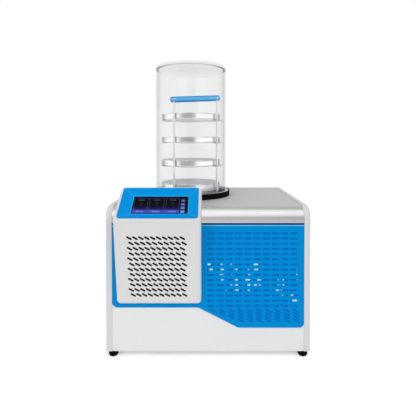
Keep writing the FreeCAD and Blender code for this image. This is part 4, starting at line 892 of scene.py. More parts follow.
@finish
def coated_fins(nodes):
    """Thin aluminium fins with a blue coat: an even run of upright sheets."""
    pitch = 0.0018
    sheets = 0.5 + 0.5 * (nodes.part(nodes.place(), 0) * (2 * math.pi / pitch)).math("SINE")
    return nodes.end(nodes.principled(
        nodes.mix(sheets, (0.004, 0.05, 0.22), (0.012, 0.16, 0.58)), Metallic=0.3,
        Roughness=0.35 + 0.2 * sheets, Normal=nodes.bump(sheets, 0.0006, 0.7)))


@finish
def cut_foam(nodes):
    """Cut insulation foam: small closed cells."""
    cells = nodes.node("ShaderNodeTexVoronoi", inputs={"Vector": nodes.place(), "Scale": 420.0})
    return nodes.end(nodes.principled(
        nodes.mix(cells, (0.62, 0.56, 0.40), (0.84, 0.79, 0.64)), Roughness=0.86,
        Specular_IOR_Level=0.2, Normal=nodes.bump(cells, 0.0008, 0.8)))


# Solder masks: between the tracks, over them, how far the pads show, and the gloss.
MASKS = {"green": ((0.006, 0.075, 0.030), (0.012, 0.13, 0.05), 1.0, 0.3),
         "black": ((0.0016, 0.0016, 0.002), (0.003, 0.003, 0.0034), 0.04, 0.02)}


@finish
def circuit_board(nodes, mask):
    """Solder mask over fine tracks, with rows of bare pads."""
    plain, raised, bare, gloss = MASKS[mask]
    here = nodes.place()
    tracks = nodes.lines(60, 60, 900, detail=1.0, roughness=0.5).fade(0.52, 0.56)
    column, row = nodes.part(here, 0) * 390.0, nodes.part(here, 2) * 310.0
    pads = (column.math("FRACT") < 0.3) * (row.math("FRACT") < 0.25)
    shown = pads * nodes.noise(45, 1).fade(0.62, 0.66) * bare
    return nodes.end(nodes.principled(
        nodes.mix(shown, nodes.mix(tracks, plain, raised), (0.50, 0.46, 0.34)),
        Roughness=0.42 - 0.1 * tracks, Specular_IOR_Level=gloss,
        Normal=nodes.bump(tracks, 0.00004, 0.6)))


@finish
def lit_screen(nodes):
    """A dark colour display under cover glass: three windows, a strip of keys, a soft glow.

    Across and up run from 0 to 1 over the glass, and up follows the sloping face.
    """
    glass, sizes = Box("touch_screen"), settings(BezelSizes)
    across = (nodes.part(nodes.place(), 0) - glass.left) / (glass.right - glass.left)
    low, high = sizes.screen_low + sizes.screen_gap, sizes.screen_high - sizes.screen_gap
    up = (Slope().risen(nodes) - low) / (high - low)

    def patch(left, base, right, top):
        return across.between(left, right) * up.between(base, top)

    def rim(left, base, right, top, wide=0.006, tall=0.013):
        return patch(left, base, right, top) - patch(
            left + wide, base + tall, right - wide, top - tall)

    glow = up.fade(0.50, 0.20) * patch(0.012, 0.03, 0.855, 0.97)
    colour = nodes.mix(glow, (0.0010, 0.0010, 0.0022), (0.010, 0.009, 0.11))
    colour = nodes.mix(patch(0.012, 0.03, 0.855, 0.215), colour, (0.060, 0.072, 0.45))
    warm = across.fade(0.16, 0.0) * up.fade(0.40, 0.2) * up.fade(0.0, 0.12)
    colour = nodes.mix(0.22 * warm, colour, (0.20, 0.045, 0.22))
    windows = (0.020, 0.272), (0.300, 0.566), (0.600, 0.842)
    for left, right in windows:
        middle = (left + right) / 2
        colour = nodes.mix(0.75 * rim(left, 0.03, right, 0.90), colour, (0.055, 0.065, 0.22))
        heading = patch(middle - 0.055, 0.765, middle + 0.055, 0.80)
        colour = nodes.mix(0.8 * heading, colour, (0.10, 0.12, 0.24))
        for level, reach in ((0.62, 0.020), (0.53, 0.034), (0.45, 0.018)):
            line = patch(middle - reach, level, middle + reach, level + 0.022)
            colour = nodes.mix(0.45 * line, colour, (0.06, 0.07, 0.16))
        button = patch(middle - 0.07, 0.09, middle + 0.07, 0.155)
        colour = nodes.mix(0.75 * button, colour, (0.20, 0.23, 0.86))
    keys = ((0.75, (0.045, 0.11, 0.17)), (0.53, (0.075, 0.10, 0.58)),
            (0.32, (0.10, 0.18, 0.55)), (0.11, (0.15, 0.25, 0.68)))
    for middle, key in keys:
        colour = nodes.mix(patch(0.872, middle - 0.075, 0.945, middle + 0.075), colour, key)
        mark = patch(0.896, middle - 0.025, 0.921, middle + 0.025)
        colour = nodes.mix(0.5 * mark, colour, (0.30, 0.40, 0.75))
    smear = nodes.noise(60, 3)
    return nodes.end(nodes.principled(
        nodes.mix(smear, (0.0012, 0.0012, 0.0015), (0.003, 0.003, 0.004)),
        Roughness=0.10 + 0.08 * smear, Specular_IOR_Level=0.04,
        Emission_Color=colour, Emission_Strength=1.0))


# ---------------------------------------------------------------------------------------------
# Pieces


class Slope:
    """The console's sloping face: its crease, and its directions up the face and out of it."""

    def __init__(self):
        sizes = settings(ConsoleSizes)
        self.foot = np.array((sizes.crease_deep, sizes.crease_high))
        rise = np.array((sizes.ridge_deep, sizes.ridge_high)) - self.foot
        self.up = rise / np.linalg.norm(rise)
        self.out = np.array((-self.up[1], self.up[0]))

    def carry(self, points):
        """(across, up the slope, out of it) to (x, y, z)."""
        place = self.foot + points[..., 1:2] * self.up + points[..., 2:3] * self.out
        return np.concatenate((points[..., :1], place), axis=-1)

    def risen(self, nodes):
        """In a material's nodes, how far up the slope from its crease a point is."""
        deep, high = (nodes.part(nodes.place(), axis + 1) * self.up[axis] for axis in (0, 1))
        return deep + high - float(self.foot @ self.up)


def stationed(ring, heights):
    """A closed ring with points added where it crosses each height."""
    after, level = np.roll(ring, -1, axis=0), np.asarray(heights)[:, None]
    low, high = ring[:, 1] - level, after[:, 1] - level
    which, edge = np.nonzero(low * high < -1e-12)
    share = low[which, edge] / (low[which, edge] - high[which, edge])
    added = ring[edge] + share[:, None] * (after[edge] - ring[edge])
    order = np.argsort(np.concatenate((np.arange(len(ring)), edge + share)), kind="stable")
    return np.concatenate((ring, added))[order]


def sheet_edge(corners, bevel, wall, heights=(), steps=7):
    """Rings over a sheet's edge, front face to rear face, as (ring, depth) pairs."""
    rolled = quarter(bevel, 4)
    levels = rolled[::-1] + [(inset, wall - drop) for inset, drop in rolled]
    return [(stationed(rounded(corners, inset, steps)[0], heights), drop)
            for inset, drop in levels]


def perforated(skin, levels, holes, carry, wall, folds=()):
    """A sheet with holes: its two faces, the holes' walls, and the edge rings that join them.

    carry takes flat points and depths under the front face to their places.
    """
    flat, faces = cut_flat(levels[0][0], holes, folds)
    skin.add(carry(flat, 0.0), faces)
    skin.add(carry(flat, wall), faces[:, ::-1])
    for hole in holes:
        skin.grid(np.stack((carry(hole, 0.0), carry(hole, wall))), around=True)
    return skin.grid(np.stack([carry(ring, drop) for ring, drop in levels]), around=True)


def upright(front):
    """Carry flat (across, up) points to a plane that faces -Y, and depths behind it."""
    def carry(flat, depth):
        return np.stack((flat[:, 0], np.full(len(flat), front + depth), flat[:, 1]), axis=-1)
    return carry


def turned(profile, box, turns=96):
    """A profile turned about the upright axis through the middle of a node's box."""
    return spun(profile, turns) + (box.middle.x, box.middle.y, 0)


class DRYER_OT_cheeks(bpy.types.Operator):
    """Moulded cheeks at both sides of the cabinet, with well rounded outer edges"""
    bl_idname = "dryer.cheeks"
    bl_label = "Cheeks"

    def execute(self, context):
        sizes = settings(CabinetSizes)
        for side, node in ((-1, "left_side_panel"), (1, "right_side_panel")):
            box = Box(node)
            low = box.base - sizes.cheek_edge
            corners = [(box.front, low, TINY), (box.rear, low, TINY),
                       (box.rear, box.top, sizes.cheek_rear_corner),
                       (box.front, box.top, sizes.cheek_corner)]
            inner, outer = sorted((box.left, box.right), key=abs)
            round_edge = [(corners, inset, outer - side * drop)
                          for inset, drop in quarter(sizes.cheek_edge, 8)]
            inner_edge = [(corners, 0.0, inner + side * 0.0002), (corners, 0.0002, inner)]
            rings = stacked(round_edge[::-1] + inner_edge, steps=16)
            points = np.stack((rings[..., 2], rings[..., 0],
                               np.maximum(rings[..., 1], box.base)), axis=-1)
            Skin().slab(points).build(node.replace("side_panel", "cheek"),
                                      [powder_coat("cheek")], "cabinet_white", node)
        return {"FINISHED"}


class DRYER_OT_cover(bpy.types.Operator):
    """Stainless cover between the cheeks, rolled down at the front and hemmed at the rear"""
    bl_idname = "dryer.cover"
    bl_label = "Steel cover"

    def execute(self, context):
        sizes, box, pot = settings(CabinetSizes), Box("steel_top_cover"), Box("trap_pot")
        path = Profile([(box.front, box.base, 0), (box.front, box.top, sizes.cover_bend),
                        (box.rear, box.top, sizes.cover_rear_bend),
                        (box.rear, box.top - sizes.cover_hem, 0)], steps=14)
        corners = rectangle(box.left, 0.0, box.right, path.along[-1])
        levels = sheet_edge(corners, sizes.burr, sizes.sheet, path.along[1:-1])
        swing = np.linspace(0, 2 * np.pi, 96, endpoint=False)
        middle = np.array((pot.middle.x, path.after(1, pot.middle.y - box.front)))
        hole = middle + sizes.trap_hole * np.column_stack((np.cos(swing), np.sin(swing)))
        skin = perforated(Skin(), levels, [hole], path.carry, sizes.sheet, path.along[1:-1])
        skin.build("steel_cover", [rolled_steel()], "top_steel", "steel_top_cover")
        return {"FINISHED"}


class DRYER_OT_skirt(bpy.types.Operator):
    """White panel under the grille, whose upper edge steps down behind it"""
    bl_idname = "dryer.skirt"
    bl_label = "Front skirt"

    def execute(self, context):
        box, grille, sizes = Box("front_skirt"), Box("front_grille"), settings(GrilleSizes)
        left, right = Box("left_side_panel").right, Box("right_side_panel").left
        lap = box.top - sizes.step_height
        corners = [(left, box.base, TINY), (right, box.base, TINY),
                   (right, grille.base + lap, TINY),
                   (sizes.step_right, grille.base + lap, sizes.skirt_bend),
                   (sizes.step_left, box.top, sizes.skirt_bend), (left, box.top, TINY)]
        wall = box.rear - box.front
        levels = sheet_edge(corners, 0.0001, wall)
        perforated(Skin(), levels, [], upright(box.front), wall).build(
            "skirt", [powder_coat("cabinet")], "cabinet_white", "front_skirt")
        return {"FINISHED"}


class DRYER_OT_grille(bpy.types.Operator):
    """Blue panel with rows of level slots, and slanted ones along its stepped lower edge"""
    bl_idname = "dryer.grille"
    bl_label = "Front grille"

    def execute(self, context):
        box, sizes = Box("front_grille"), settings(GrilleSizes)
        corners = [(box.left, sizes.step_height, sizes.left_corner),
                   (sizes.step_left, sizes.step_height, sizes.upper_step),
                   (sizes.step_right, box.base, sizes.lower_step),
                   (box.right, box.base, sizes.right_corner),
                   (box.right, box.top, sizes.top_corner), (box.left, box.top, sizes.top_corner)]
        wall = box.rear - box.front
        holes = list(slots(*lattice(sizes.first_across, sizes.first_up, sizes.pitch_across,
                                    sizes.pitch_up, sizes.columns, sizes.rows),
                           sizes.slot_length, sizes.slot_height))
        for row in range(sizes.slant_rows):
            first = sizes.first_across + sizes.slant_shift + row * sizes.pitch_across
            up = sizes.slant_top - row * sizes.slant_pitch
            holes += list(slots(*lattice(first, up, sizes.pitch_across, 0, sizes.columns - row, 1),
                                sizes.slant_length, sizes.slant_height, -sizes.slant))
        levels = sheet_edge(corners, wall * 0.49, wall, steps=12)
        perforated(Skin(), levels, holes, upright(box.front), wall).build(
            "grille", [blue_paint("grille")], "grille_blue", "front_grille")
        return {"FINISHED"}


# Painted glints by their row of slots, counted from 0 at the top: the place across and the half
# width in millimetres, and the brightness.
PAINTED_GLINTS = {
    6: ((2.9, 4.4, 1), (39.5, 2, 0.8), (67.3, 2.2, 0.5), (140, 5.5, 0.9)),
    7: ((8.8, 4.8, 1), (42, 4.4, 1), (81.9, 3.7, 0.8), (118.1, 2.2, 0.6), (141.1, 5.5, 1),
        (260.6, 1.5, 0.5)),
    8: ((38.8, 5.5, 0.4), (69.1, 1.5, 0.3), (120.6, 3.3, 0.4), (260.2, 2.2, 0.8)),
    9: ((41.7, 4, 0.6), (82.6, 3.7, 1), (115.9, 6.6, 0.9), (149.5, 4.8, 1), (205.4, 2.2, 0.5),
        (220, 2.2, 0.6), (260.2, 1.5, 0.4)),
    10: ((68, 2.2, 0.6), (83.3, 3.7, 0.9), (119.2, 4, 1), (138.5, 3.7, 0.9), (152.1, 2.9, 0.9),
        (206.9, 3.3, 0.5), (220.8, 2.6, 0.6)),
    11: ((51.5, 2.9, 0.35), (84.4, 4.8, 0.8), (119.2, 2.9, 0.6), (203.2, 4.8, 0.6),
        (214.2, 2.2, 0.4)),
    12: ((217.9, 1.8, 0.5), (245.6, 3.3, 0.9)),
    13: ((254.4, 7.3, 1),)}


class DRYER_OT_filter(bpy.types.Operator):
    """Filter cloth behind the slots, with painted glints

    Its face is a grid of (across, share of the height). The lower edge falls with the grille's
    step: up = low(across) + share * (top - low(across)), low being the higher of two lines.
    """
    bl_idname = "dryer.filter"
    bl_label = "Filter cloth"

    def execute(self, context):
        box, grille, sizes = Box("dust_filter"), Box("front_grille"), settings(GrilleSizes)
        across = np.linspace(box.left, box.right, 236)[:, None]
        fall = (sizes.step_height - grille.base) / (sizes.step_right - sizes.step_left)
        low = np.maximum(box.base, sizes.step_height + box.base - grille.base
                         - (across - sizes.step_left) * fall)
        share = np.linspace(0, 1, 160)
        up = low + share * (box.top - low)
        face = np.stack((across + 0 * up, box.front + 0 * up, up), axis=-1)
        back = np.stack((face[:, (-1, 0), 0], box.rear + 0 * up[:, :2], up[:, (-1, 0)]), axis=-1)
        piece = Skin().slab(np.concatenate((face, back), axis=1)).build(
            "filter_cloth", [filter_fabric()], "filter_blue", "dust_filter",
            weighted=False)
        place = np.empty(3 * len(piece.data.vertices))
        piece.data.vertices.foreach_get("co", place)
        place = place.reshape(-1, 3)
        row, middle, half, bright = np.array([(row, *glint) for row, knots in PAINTED_GLINTS.items()
                                              for glint in knots]).T
        level = sizes.first_up + (sizes.rows - 1 - row) * sizes.pitch_up
        beside = np.clip((half - abs(place[:, :1] / MM - middle)) / 1.2 + 0.5, 0, 1)
        near = np.clip(1.6 - abs(place[:, 2:] - level) / MM / 1.1, 0, 1)
        # The painted glints' strength, stored on the points.
        marks = piece.data.attributes.new("knots", "FLOAT", "POINT")
        marks.data.foreach_set("value", (bright * beside * near).max(axis=1))
        return {"FINISHED"}


class DRYER_OT_console(bpy.types.Operator):
    """Moulded console shell: its front leans out to a crease, and a face slopes back to a ridge

    The shell is a flat sheet of (across, along) carried onto its bent section. Round its rim
    the sheet rolls over by a quarter round and then runs straight back to the cabinet.
    """
    bl_idname = "dryer.console"
    bl_label = "Console shell"

    def execute(self, context):
        sizes, box = settings(ConsoleSizes), Box("console_shell")
        lean = math.atan2(sizes.foot_front - sizes.crease_deep, sizes.crease_high - box.base)
        cover, bend = Box("steel_top_cover"), settings(CabinetSizes).cover_bend
        low, seat = box.base - sizes.edge * math.sin(lean), cover.top + sizes.seat_gap
        path = Profile([(sizes.foot_front, low, 0),
                        (sizes.crease_deep, sizes.crease_high, sizes.crease_bend),
                        (sizes.ridge_deep, sizes.ridge_high, sizes.ridge_bend),
                        (sizes.back_deep, seat, 0)], steps=10)
        rear = cover.front - sizes.side_gap
        back = Profile([(rear, box.base + sizes.wall / 2, 0), (rear, seat, bend),
                        (sizes.back_deep, seat, 0)], steps=16)
        total = path.along[-1]
        marks = (0, path.after(1, 0), path.after(2, 0), total)
        rearward = (0, 0.55 * back.along[-1], 0.86 * back.along[-1], back.along[-1])

        def ring(inset):
            stations = np.concatenate((path.along[path.along > sizes.corner + MM],
                                       np.linspace(0.1, 0.95, 8) * path.along[1]))
            stations = np.unique(stations[stations > sizes.corner])[::-1]
            swing = np.linspace(0, np.pi / 2, 9)
            radius = sizes.corner - inset
            run, dip = radius * np.cos(swing), sizes.corner - radius * np.sin(swing)
            left = np.column_stack((box.left + sizes.corner - run, dip))
            right = np.column_stack((box.right - sizes.corner + run, dip))[::-1]
            ends = np.ones(len(stations))
            return np.concatenate((
                np.column_stack(((box.left + inset) * ends, stations)), left, right,
                np.column_stack(((box.right - inset) * ends, stations[::-1]))))

        def behind(inset, lift):
            flat = ring(inset)
            place = back.at(np.interp(flat[:, 1], marks, rearward))[0]
            place[:, 1] += np.where(flat[:, 1] < sizes.corner, lift, 0)
            return np.column_stack((flat[:, 0], place))

        outer = [path.carry(ring(inset), drop) for inset, drop in quarter(sizes.edge, 7)][::-1]
        inner = [path.carry(ring(sizes.wall + inset), sizes.wall + drop)
                 for inset, drop in quarter(sizes.edge - sizes.wall, 4)]
        edge = [*outer, behind(0.0, 0.0), behind(sizes.wall, sizes.wall), *inner]
        holes = self.vents(sizes, low, lean)
        bezel = settings(BezelSizes)
        window = rectangle(bezel.left + bezel.rim, path.after(1, bezel.low + bezel.rim),
                           bezel.right - bezel.rim, path.after(1, bezel.high - bezel.rim))
        holes.append(rounded(window, steps=2)[0])
        flat, faces = cut_flat(ring(sizes.edge), holes, path.along[1:-1])
        skin = Skin().add(path.carry(flat, 0.0), faces)
        # Kind 1 is painted shade: near black on the inner face and on the vents' walls.
        skin.add(path.carry(flat, sizes.wall), faces[:, ::-1], kind=1)
        for hole in holes:
            skin.grid(np.stack((path.carry(hole, 0.0), path.carry(hole, sizes.wall))),
                      around=True, kind=1)
        skin.grid(np.stack(edge))
        low_point = (skin.points[:, 1] > rear + bend) & (skin.points[:, 2] < seat)
        skin.points[low_point, 2] = seat
        skin.build("console", [moulded_plastic(), shaded_black()], "console_white",
                   "console_shell")
        return {"FINISHED"}

    def vents(self, sizes, low, lean):
        """Rows of slanted slots, every other row shifted, on the part under the crease."""
        holes = []
        for row in range(sizes.vent_rows):
            shift = -sizes.vent_stagger if row % 2 == 0 else sizes.vent_stagger
            up = (sizes.vent_top - row * sizes.vent_up - low) / math.cos(lean)
            holes += list(slots(*lattice(sizes.vent_first + shift, up, sizes.vent_across, 0,
                                         sizes.vent_columns, 1),
                                sizes.vent_length, sizes.vent_height, -sizes.vent_slant))
        return holes


class DRYER_OT_bezel(bpy.types.Operator):
    """Blue frame round the screen: a raised rim, and four faces sloping down to the glass"""
    bl_idname = "dryer.bezel"
    bl_label = "Screen bezel"

    def execute(self, context):
        sizes, slope = settings(BezelSizes), Slope()
        outside = rectangle(sizes.left, sizes.low, sizes.right, sizes.high, sizes.corner)
        outside[2:] = [(across, up, sizes.top_corner) for across, up, _ in outside[2:]]
        sides = np.array((sizes.left, sizes.low, sizes.right, sizes.high))
        inward = np.array((1, 1, -1, -1))
        inside = rectangle(*(sides + sizes.rim * inward), sizes.corner - sizes.rim)
        tub = rectangle(*(sides + (sizes.rim + sizes.tub_gap) * inward), sizes.tub_corner)
        window = rectangle(sizes.screen_left, sizes.screen_low, sizes.screen_right,
                           sizes.screen_high, sizes.mitre)
        bevel, top = sizes.rim_edge, sizes.proud
        over = [(outside, inset, top - drop) for inset, drop in quarter(bevel, 6)]
        dip = [(inside, -inset, top - drop) for inset, drop in quarter(bevel * 0.6, 4)]
        lip, fall = 1.2 * MM, 0.6 * MM  # the last part of the slope, at the window's edge
        levels = [(outside, 0.0, sizes.lift), *over, *dip,
                  (window, -lip, fall - sizes.screen_deep),
                  (window, 0.0, -sizes.screen_deep), (window, 0.0, -sizes.deep),
                  (tub, 0.0, -sizes.deep), (tub, 0.0, sizes.lift)]
        rings = slope.carry(stacked(levels, steps=9))
        Skin().grid(rings, around=True, over=True).build(
            "bezel", [bezel_moulding()], "bezel_blue", "screen_bezel")
        return {"FINISHED"}


class DRYER_OT_screen(bpy.types.Operator):
    """Cover glass over the lit display"""
    bl_idname = "dryer.screen"
    bl_label = "Touch screen"

    def execute(self, context):
        sizes, slope = settings(BezelSizes), Slope()
        gap = sizes.screen_gap
        glass = rectangle(sizes.screen_left + gap, sizes.screen_low + gap,
                          sizes.screen_right - gap, sizes.screen_high - gap, sizes.screen_corner)
        over = [(glass, inset, -sizes.screen_deep - drop)
                for inset, drop in quarter(sizes.screen_edge, 4)]
        levels = [(glass, 0.0, -sizes.screen_deep - sizes.screen_thick), *over]
        Skin().slab(slope.carry(stacked(levels, steps=5))).build(
            "display", [lit_screen()], "screen_black", "touch_screen")
        return {"FINISHED"}


class DRYER_OT_jar(bpy.types.Operator):
    """Clear bell jar: a tube, the lid glued on it, and the foot ring it stands by"""
    bl_idname = "dryer.jar"
    bl_label = "Bell jar"

    def execute(self, context):
        sizes = settings(JarSizes)
        tube, lid, ring = Box("jar_wall"), Box("jar_lid"), Box("jar_base_ring")
        radius, edge = tube.right - tube.middle.x, sizes.edge
        wall = rounded([(radius - sizes.wall, tube.base, edge), (radius, tube.base, edge),
                        (radius, tube.top - sizes.joint, edge),
                        (radius - sizes.wall, tube.top - sizes.joint, edge)], steps=4)[0]
        Skin().grid(turned(wall, tube, 160), around=True, over=True).build(
            "bell_jar_tube", [acrylic()], "clear_acrylic", "jar_wall", weighted=False)
        glued = radius - sizes.wall - sizes.bead
        disc = rounded([(0, lid.base, 0), (glued, lid.base, 0),
                        (radius, lid.base, edge), (radius, lid.top, sizes.lid_round),
                        (0, lid.top, 0)], steps=10, closed=False)[0]
        skin = Skin().grid(turned(disc, lid, 160), around=True)
        out = np.hypot(*(skin.points[:, :2] - lid.middle[:2]).T)
        joint = (out > glued - TINY) & (skin.points[:, 2] < lid.base + edge)
        skin.kinds = joint[np.array(skin.faces)].all(axis=1).astype(int).tolist()
        skin.build("bell_jar_lid", [acrylic(), cement()], "clear_acrylic", "jar_lid")
        inner, outer = radius + sizes.ring_gap, ring.right - ring.middle.x - sizes.ring_proud
        top = ring.top - sizes.ring_low
        foot = rounded([(inner, ring.base, edge), (outer, ring.base, edge),
                        (outer, top, 0.0008), (inner, top, edge)], steps=5)[0]
        Skin().grid(turned(foot, ring, 160), around=True, over=True).build(
            "jar_foot_ring", [satin_steel("ring", "x")], "stainless", "jar_base_ring")
        return {"FINISHED"}


class DRYER_OT_seal(bpy.types.Operator):
    """Rubber seal that holds the jar's foot in a shallow rebate"""
    bl_idname = "dryer.seal"
    bl_label = "Seal"

    def execute(self, context):
        sizes, box = settings(JarSizes), Box("seal_ring")
        pot, tube = Box("trap_pot"), Box("jar_wall")
        outer, step = box.right - box.middle.x, box.base + sizes.seal_rebate
        shoulder, lip = pot.right - pot.middle.x + sizes.seal_gap, outer - sizes.seal_lip
        section = [(sizes.seal_inner, step, 0.0005),
                   (shoulder, step, 0.0003), (shoulder, box.base, 0.0003),
                   (outer, box.base, 0.0010), (outer, box.top, 0.0013), (lip, box.top, 0.0013),
                   (lip, tube.base, 0.0004), (sizes.seal_inner, tube.base, 0.0006)]
        Skin().grid(turned(rounded(section, steps=6)[0], box, 144), around=True, over=True).build(
            "jar_seal", [rubber()], "black_rubber", "seal_ring")
        return {"FINISHED"}


class DRYER_OT_trays(bpy.types.Operator):
    """Pressed trays with rounded lower edges and a bead round each rim"""
    bl_idname = "dryer.trays"
    bl_label = "Trays"

    def execute(self, context):
        sizes = settings(RackSizes)
        for number in range(1, 5):
            box = Box(f"tray_{number}")
            outer = box.right - box.middle.x
            body = outer - sizes.tray_step
            inner = body - sizes.tray_sheet
            bead, floor = box.top - sizes.tray_bead, box.base + sizes.tray_sheet
            section = [(0, box.base, 0), (body, box.base, sizes.tray_corner),
                       (body, bead, 0.0006), (outer, bead + 0.0006, 0.0010),
                       (outer, box.top, 0.0012), (inner, box.top, 0.0009),
                       (inner, floor, sizes.tray_corner - sizes.tray_sheet), (0, floor, 0)]
            profile = rounded(section, steps=6, closed=False)[0]
            Skin().grid(turned(profile, box, 120), around=True).build(
                f"drying_tray_{number}", [tray_steel()], "stainless", f"tray_{number}")
        return {"FINISHED"}


class DRYER_OT_rods(bpy.types.Operator):
    """Two bright rods that carry the shelves"""
    bl_idname = "dryer.rods"
    bl_label = "Rack rods"

    def execute(self, context):
        sizes, box, jar = settings(RackSizes), Box("rack_rods"), Box("jar_wall")
        skin = Skin()
        fall = (sizes.rod_right_across - sizes.rod_left_across) * math.tan(sizes.handle_tilt)
        for across, deep, top in (
                (sizes.rod_left_across, sizes.rod_left_deep, box.top - fall),
                (sizes.rod_right_across, sizes.rod_right_deep, box.top)):
            profile = rounded([(0, box.base, 0), (sizes.rod, box.base, 0.0005),
                               (sizes.rod, top, 0.0008), (0, top, 0)], steps=4, closed=False)[0]
            middle = (jar.middle.x + across, jar.middle.y + deep, 0)
            skin.grid(spun(profile, 32) + middle, around=True)
        skin.build("rods", [satin_steel("rod", "z")], "rod_steel", "rack_rods")
        return {"FINISHED"}


class DRYER_OT_handle(bpy.types.Operator):
    """Blue bar across the rods, with rounded ends and a pin through it over each rod"""
    bl_idname = "dryer.handle"
    bl_label = "Rack handle"

    def execute(self, context):
        sizes, jar, box = settings(RackSizes), Box("jar_wall"), Box("rack_handle")
        left = np.array((sizes.rod_left_across, sizes.rod_left_deep, 0))
        right = np.array((sizes.rod_right_across, sizes.rod_right_deep, 0))
        middle = (left + right) / 2 + (jar.middle.x - sizes.handle_shift,
                                       jar.middle.y + sizes.handle_inset, box.middle.z)
        level = np.linalg.norm(right - left)
        span = level / math.cos(sizes.handle_tilt)
        along = (right - left + (0, 0, level * math.tan(sizes.handle_tilt))) / span
        toward = np.cross(along, (0, 0, 1.0))
        toward /= np.linalg.norm(toward)
        aside = np.cross(toward, along)
        reach = span / 2 + sizes.handle_over
        profile = rounded([(0, -reach, 0), (sizes.handle, -reach, sizes.handle * 0.97),
                           (sizes.handle, reach, sizes.handle * 0.97), (0, reach, 0)],
                          steps=12, closed=False)[0]
        axes = np.stack((aside, toward, along))
        skin = Skin().grid(spun(profile, 48) @ axes + middle, around=True)
        head = rounded([(sizes.pin, 0, 0), (sizes.pin, 0.0006, 0.0005),
                        (0, sizes.pin_high, 0)], steps=5, closed=False)[0]
        facing = np.stack((aside, along, toward))
        for side in (-1, 1):
            seat = middle + along * side * span / 2 + toward * (sizes.handle - 0.0005)
            skin.grid(spun(head, 24) @ facing + seat, around=True, kind=1)
        skin.build("handle", [grip_sleeve(), polished_steel()], "handle_blue", "rack_handle")
        return {"FINISHED"}


class DRYER_OT_feet(bpy.types.Operator):
    """Four moulded rubber feet, tapered to a rounded toe"""
    bl_idname = "dryer.feet"
    bl_label = "Feet"

    def execute(self, context):
        sizes, box = settings(CabinetSizes), Box("rubber_feet")
        foot, shoulder = sizes.foot, box.base + sizes.foot_shoulder
        profile = rounded([(0, box.base, 0), (sizes.foot_toe, box.base, 0.002),
                           (foot - 0.0005, shoulder, 0.003), (foot, box.top, 0.0006),
                           (0, box.top, 0)], steps=6, closed=False)[0]
        skin = Skin()
        for across in (box.left + foot, box.right - foot):
            for deep in (box.front + foot, box.rear - foot):
                skin.grid(spun(profile, 40) + (across, deep, 0), around=True)
        skin.build("feet", [rubber()], "black_rubber", "rubber_feet")
        return {"FINISHED"}


def even_shading():
    """Geometry nodes that join a node's loose triangles and shade its gentle folds smooth."""
    name = "even_shading"
    known = bpy.data.node_groups.get(name)
    if known:
        return known
    group = bpy.data.node_groups.new(name, "GeometryNodeTree")
    for direction in ("INPUT", "OUTPUT"):
        group.interface.new_socket("Geometry", in_out=direction, socket_type="NodeSocketGeometry")
    start, end, merge, fold, gentle, faces, edges = (group.nodes.new(kind) for kind in (
        "NodeGroupInput", "NodeGroupOutput", "GeometryNodeMergeByDistance",
        "GeometryNodeInputMeshEdgeAngle", "FunctionNodeCompare", "GeometryNodeSetShadeSmooth",
        "GeometryNodeSetShadeSmooth"))
    merge.inputs["Distance"].default_value = WELD
    gentle.data_type, gentle.operation = "FLOAT", "LESS_THAN"
    gentle.inputs[1].default_value = CAD_CREASE
    faces.domain, edges.domain = "FACE", "EDGE"
    for source, target in (
            (start.outputs[0], merge.inputs[0]), (merge.outputs[0], faces.inputs[0]),
            (faces.outputs[0], edges.inputs[0]), (edges.outputs[0], end.inputs[0]),
            (fold.outputs[0], gentle.inputs[0]),
            (gentle.outputs[0], edges.inputs["Shade Smooth"])):
        group.links.new(source, target)
    return group


def dress(finish_made, *names):
    """Give CAD nodes that stay their finish and even shading."""
    for name in names:
        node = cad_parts[name]
        for slot in node.material_slots:
            slot.material = finish_made
        node.modifiers.new("even_shading", "NODES").node_group = even_shading()


class DRYER_OT_cabinet_parts(bpy.types.Operator):
    """Finishes of the sheet-metal parts that keep their own shape"""
    bl_idname = "dryer.cabinet_parts"
    bl_label = "Cabinet parts"

    def execute(self, context):
        dress(powder_coat("cabinet"), "rear_panel")
        dress(plated("zinc", 90.0), "base_pan", "fan_shroud", "power_supply")
        # Darkened blue on the rail: painted shade in the gap above the grille.
        dress(blue_paint("rail"), "cross_member")
        dress(plated("chrome", 900.0), "cover_screws")
        return {"FINISHED"}


class DRYER_OT_trap_parts(bpy.types.Operator):
    """Finishes of the cold trap and the rack's pressed parts"""
    bl_idname = "dryer.trap_parts"
    bl_label = "Cold trap"

    def execute(self, context):
        dress(polished_steel(), "trap_pot", "rack_foot")
        dress(shelf_steel(), *(f"tray_shelf_{number}" for number in range(1, 5)))
        dress(satin_steel("steel", "z"), "evaporator_jacket")
        dress(cut_foam(), "trap_insulation")
        return {"FINISHED"}


class DRYER_OT_works(bpy.types.Operator):
    """Finishes of the refrigeration, the electrics and the fan"""
    bl_idname = "dryer.works"
    bl_label = "Inner works"

    def execute(self, context):
        dress(coated_fins(), "condenser_fins")
        dress(copper_tube(), "condenser_bends", "discharge_line", "filter_drier", "liquid_line",
              "capillary_tube", "suction_line", "vent_tube")
        dress(black_moulding(), "fan_motor", "fan_blade", "vacuum_gauge")
        dress(black_enamel(), "compressor")
        dress(rubber(), "compressor_grommets")
        dress(circuit_board("green"), "display_board")
        dress(circuit_board("black"), "control_board")
        return {"FINISHED"}


class DRYER_OT_fittings(bpy.types.Operator):
    """Finishes of the fittings on the rear panel"""
    bl_idname = "dryer.fittings"
    bl_label = "Rear fittings"

    def execute(self, context):
        dress(black_moulding(), "power_inlet", "power_switch_frame", "power_switch_rocker",
              "fuse_holder", "vent_valve_knob")
        dress(satin_steel("steel", "y"), "vacuum_port", "drain_tube")
        dress(plated("brass", 700.0), "vent_valve_body", "drain_valve_body")
        dress(plated("chrome", 700.0), "drain_valve_lever")
        return {"FINISHED"}


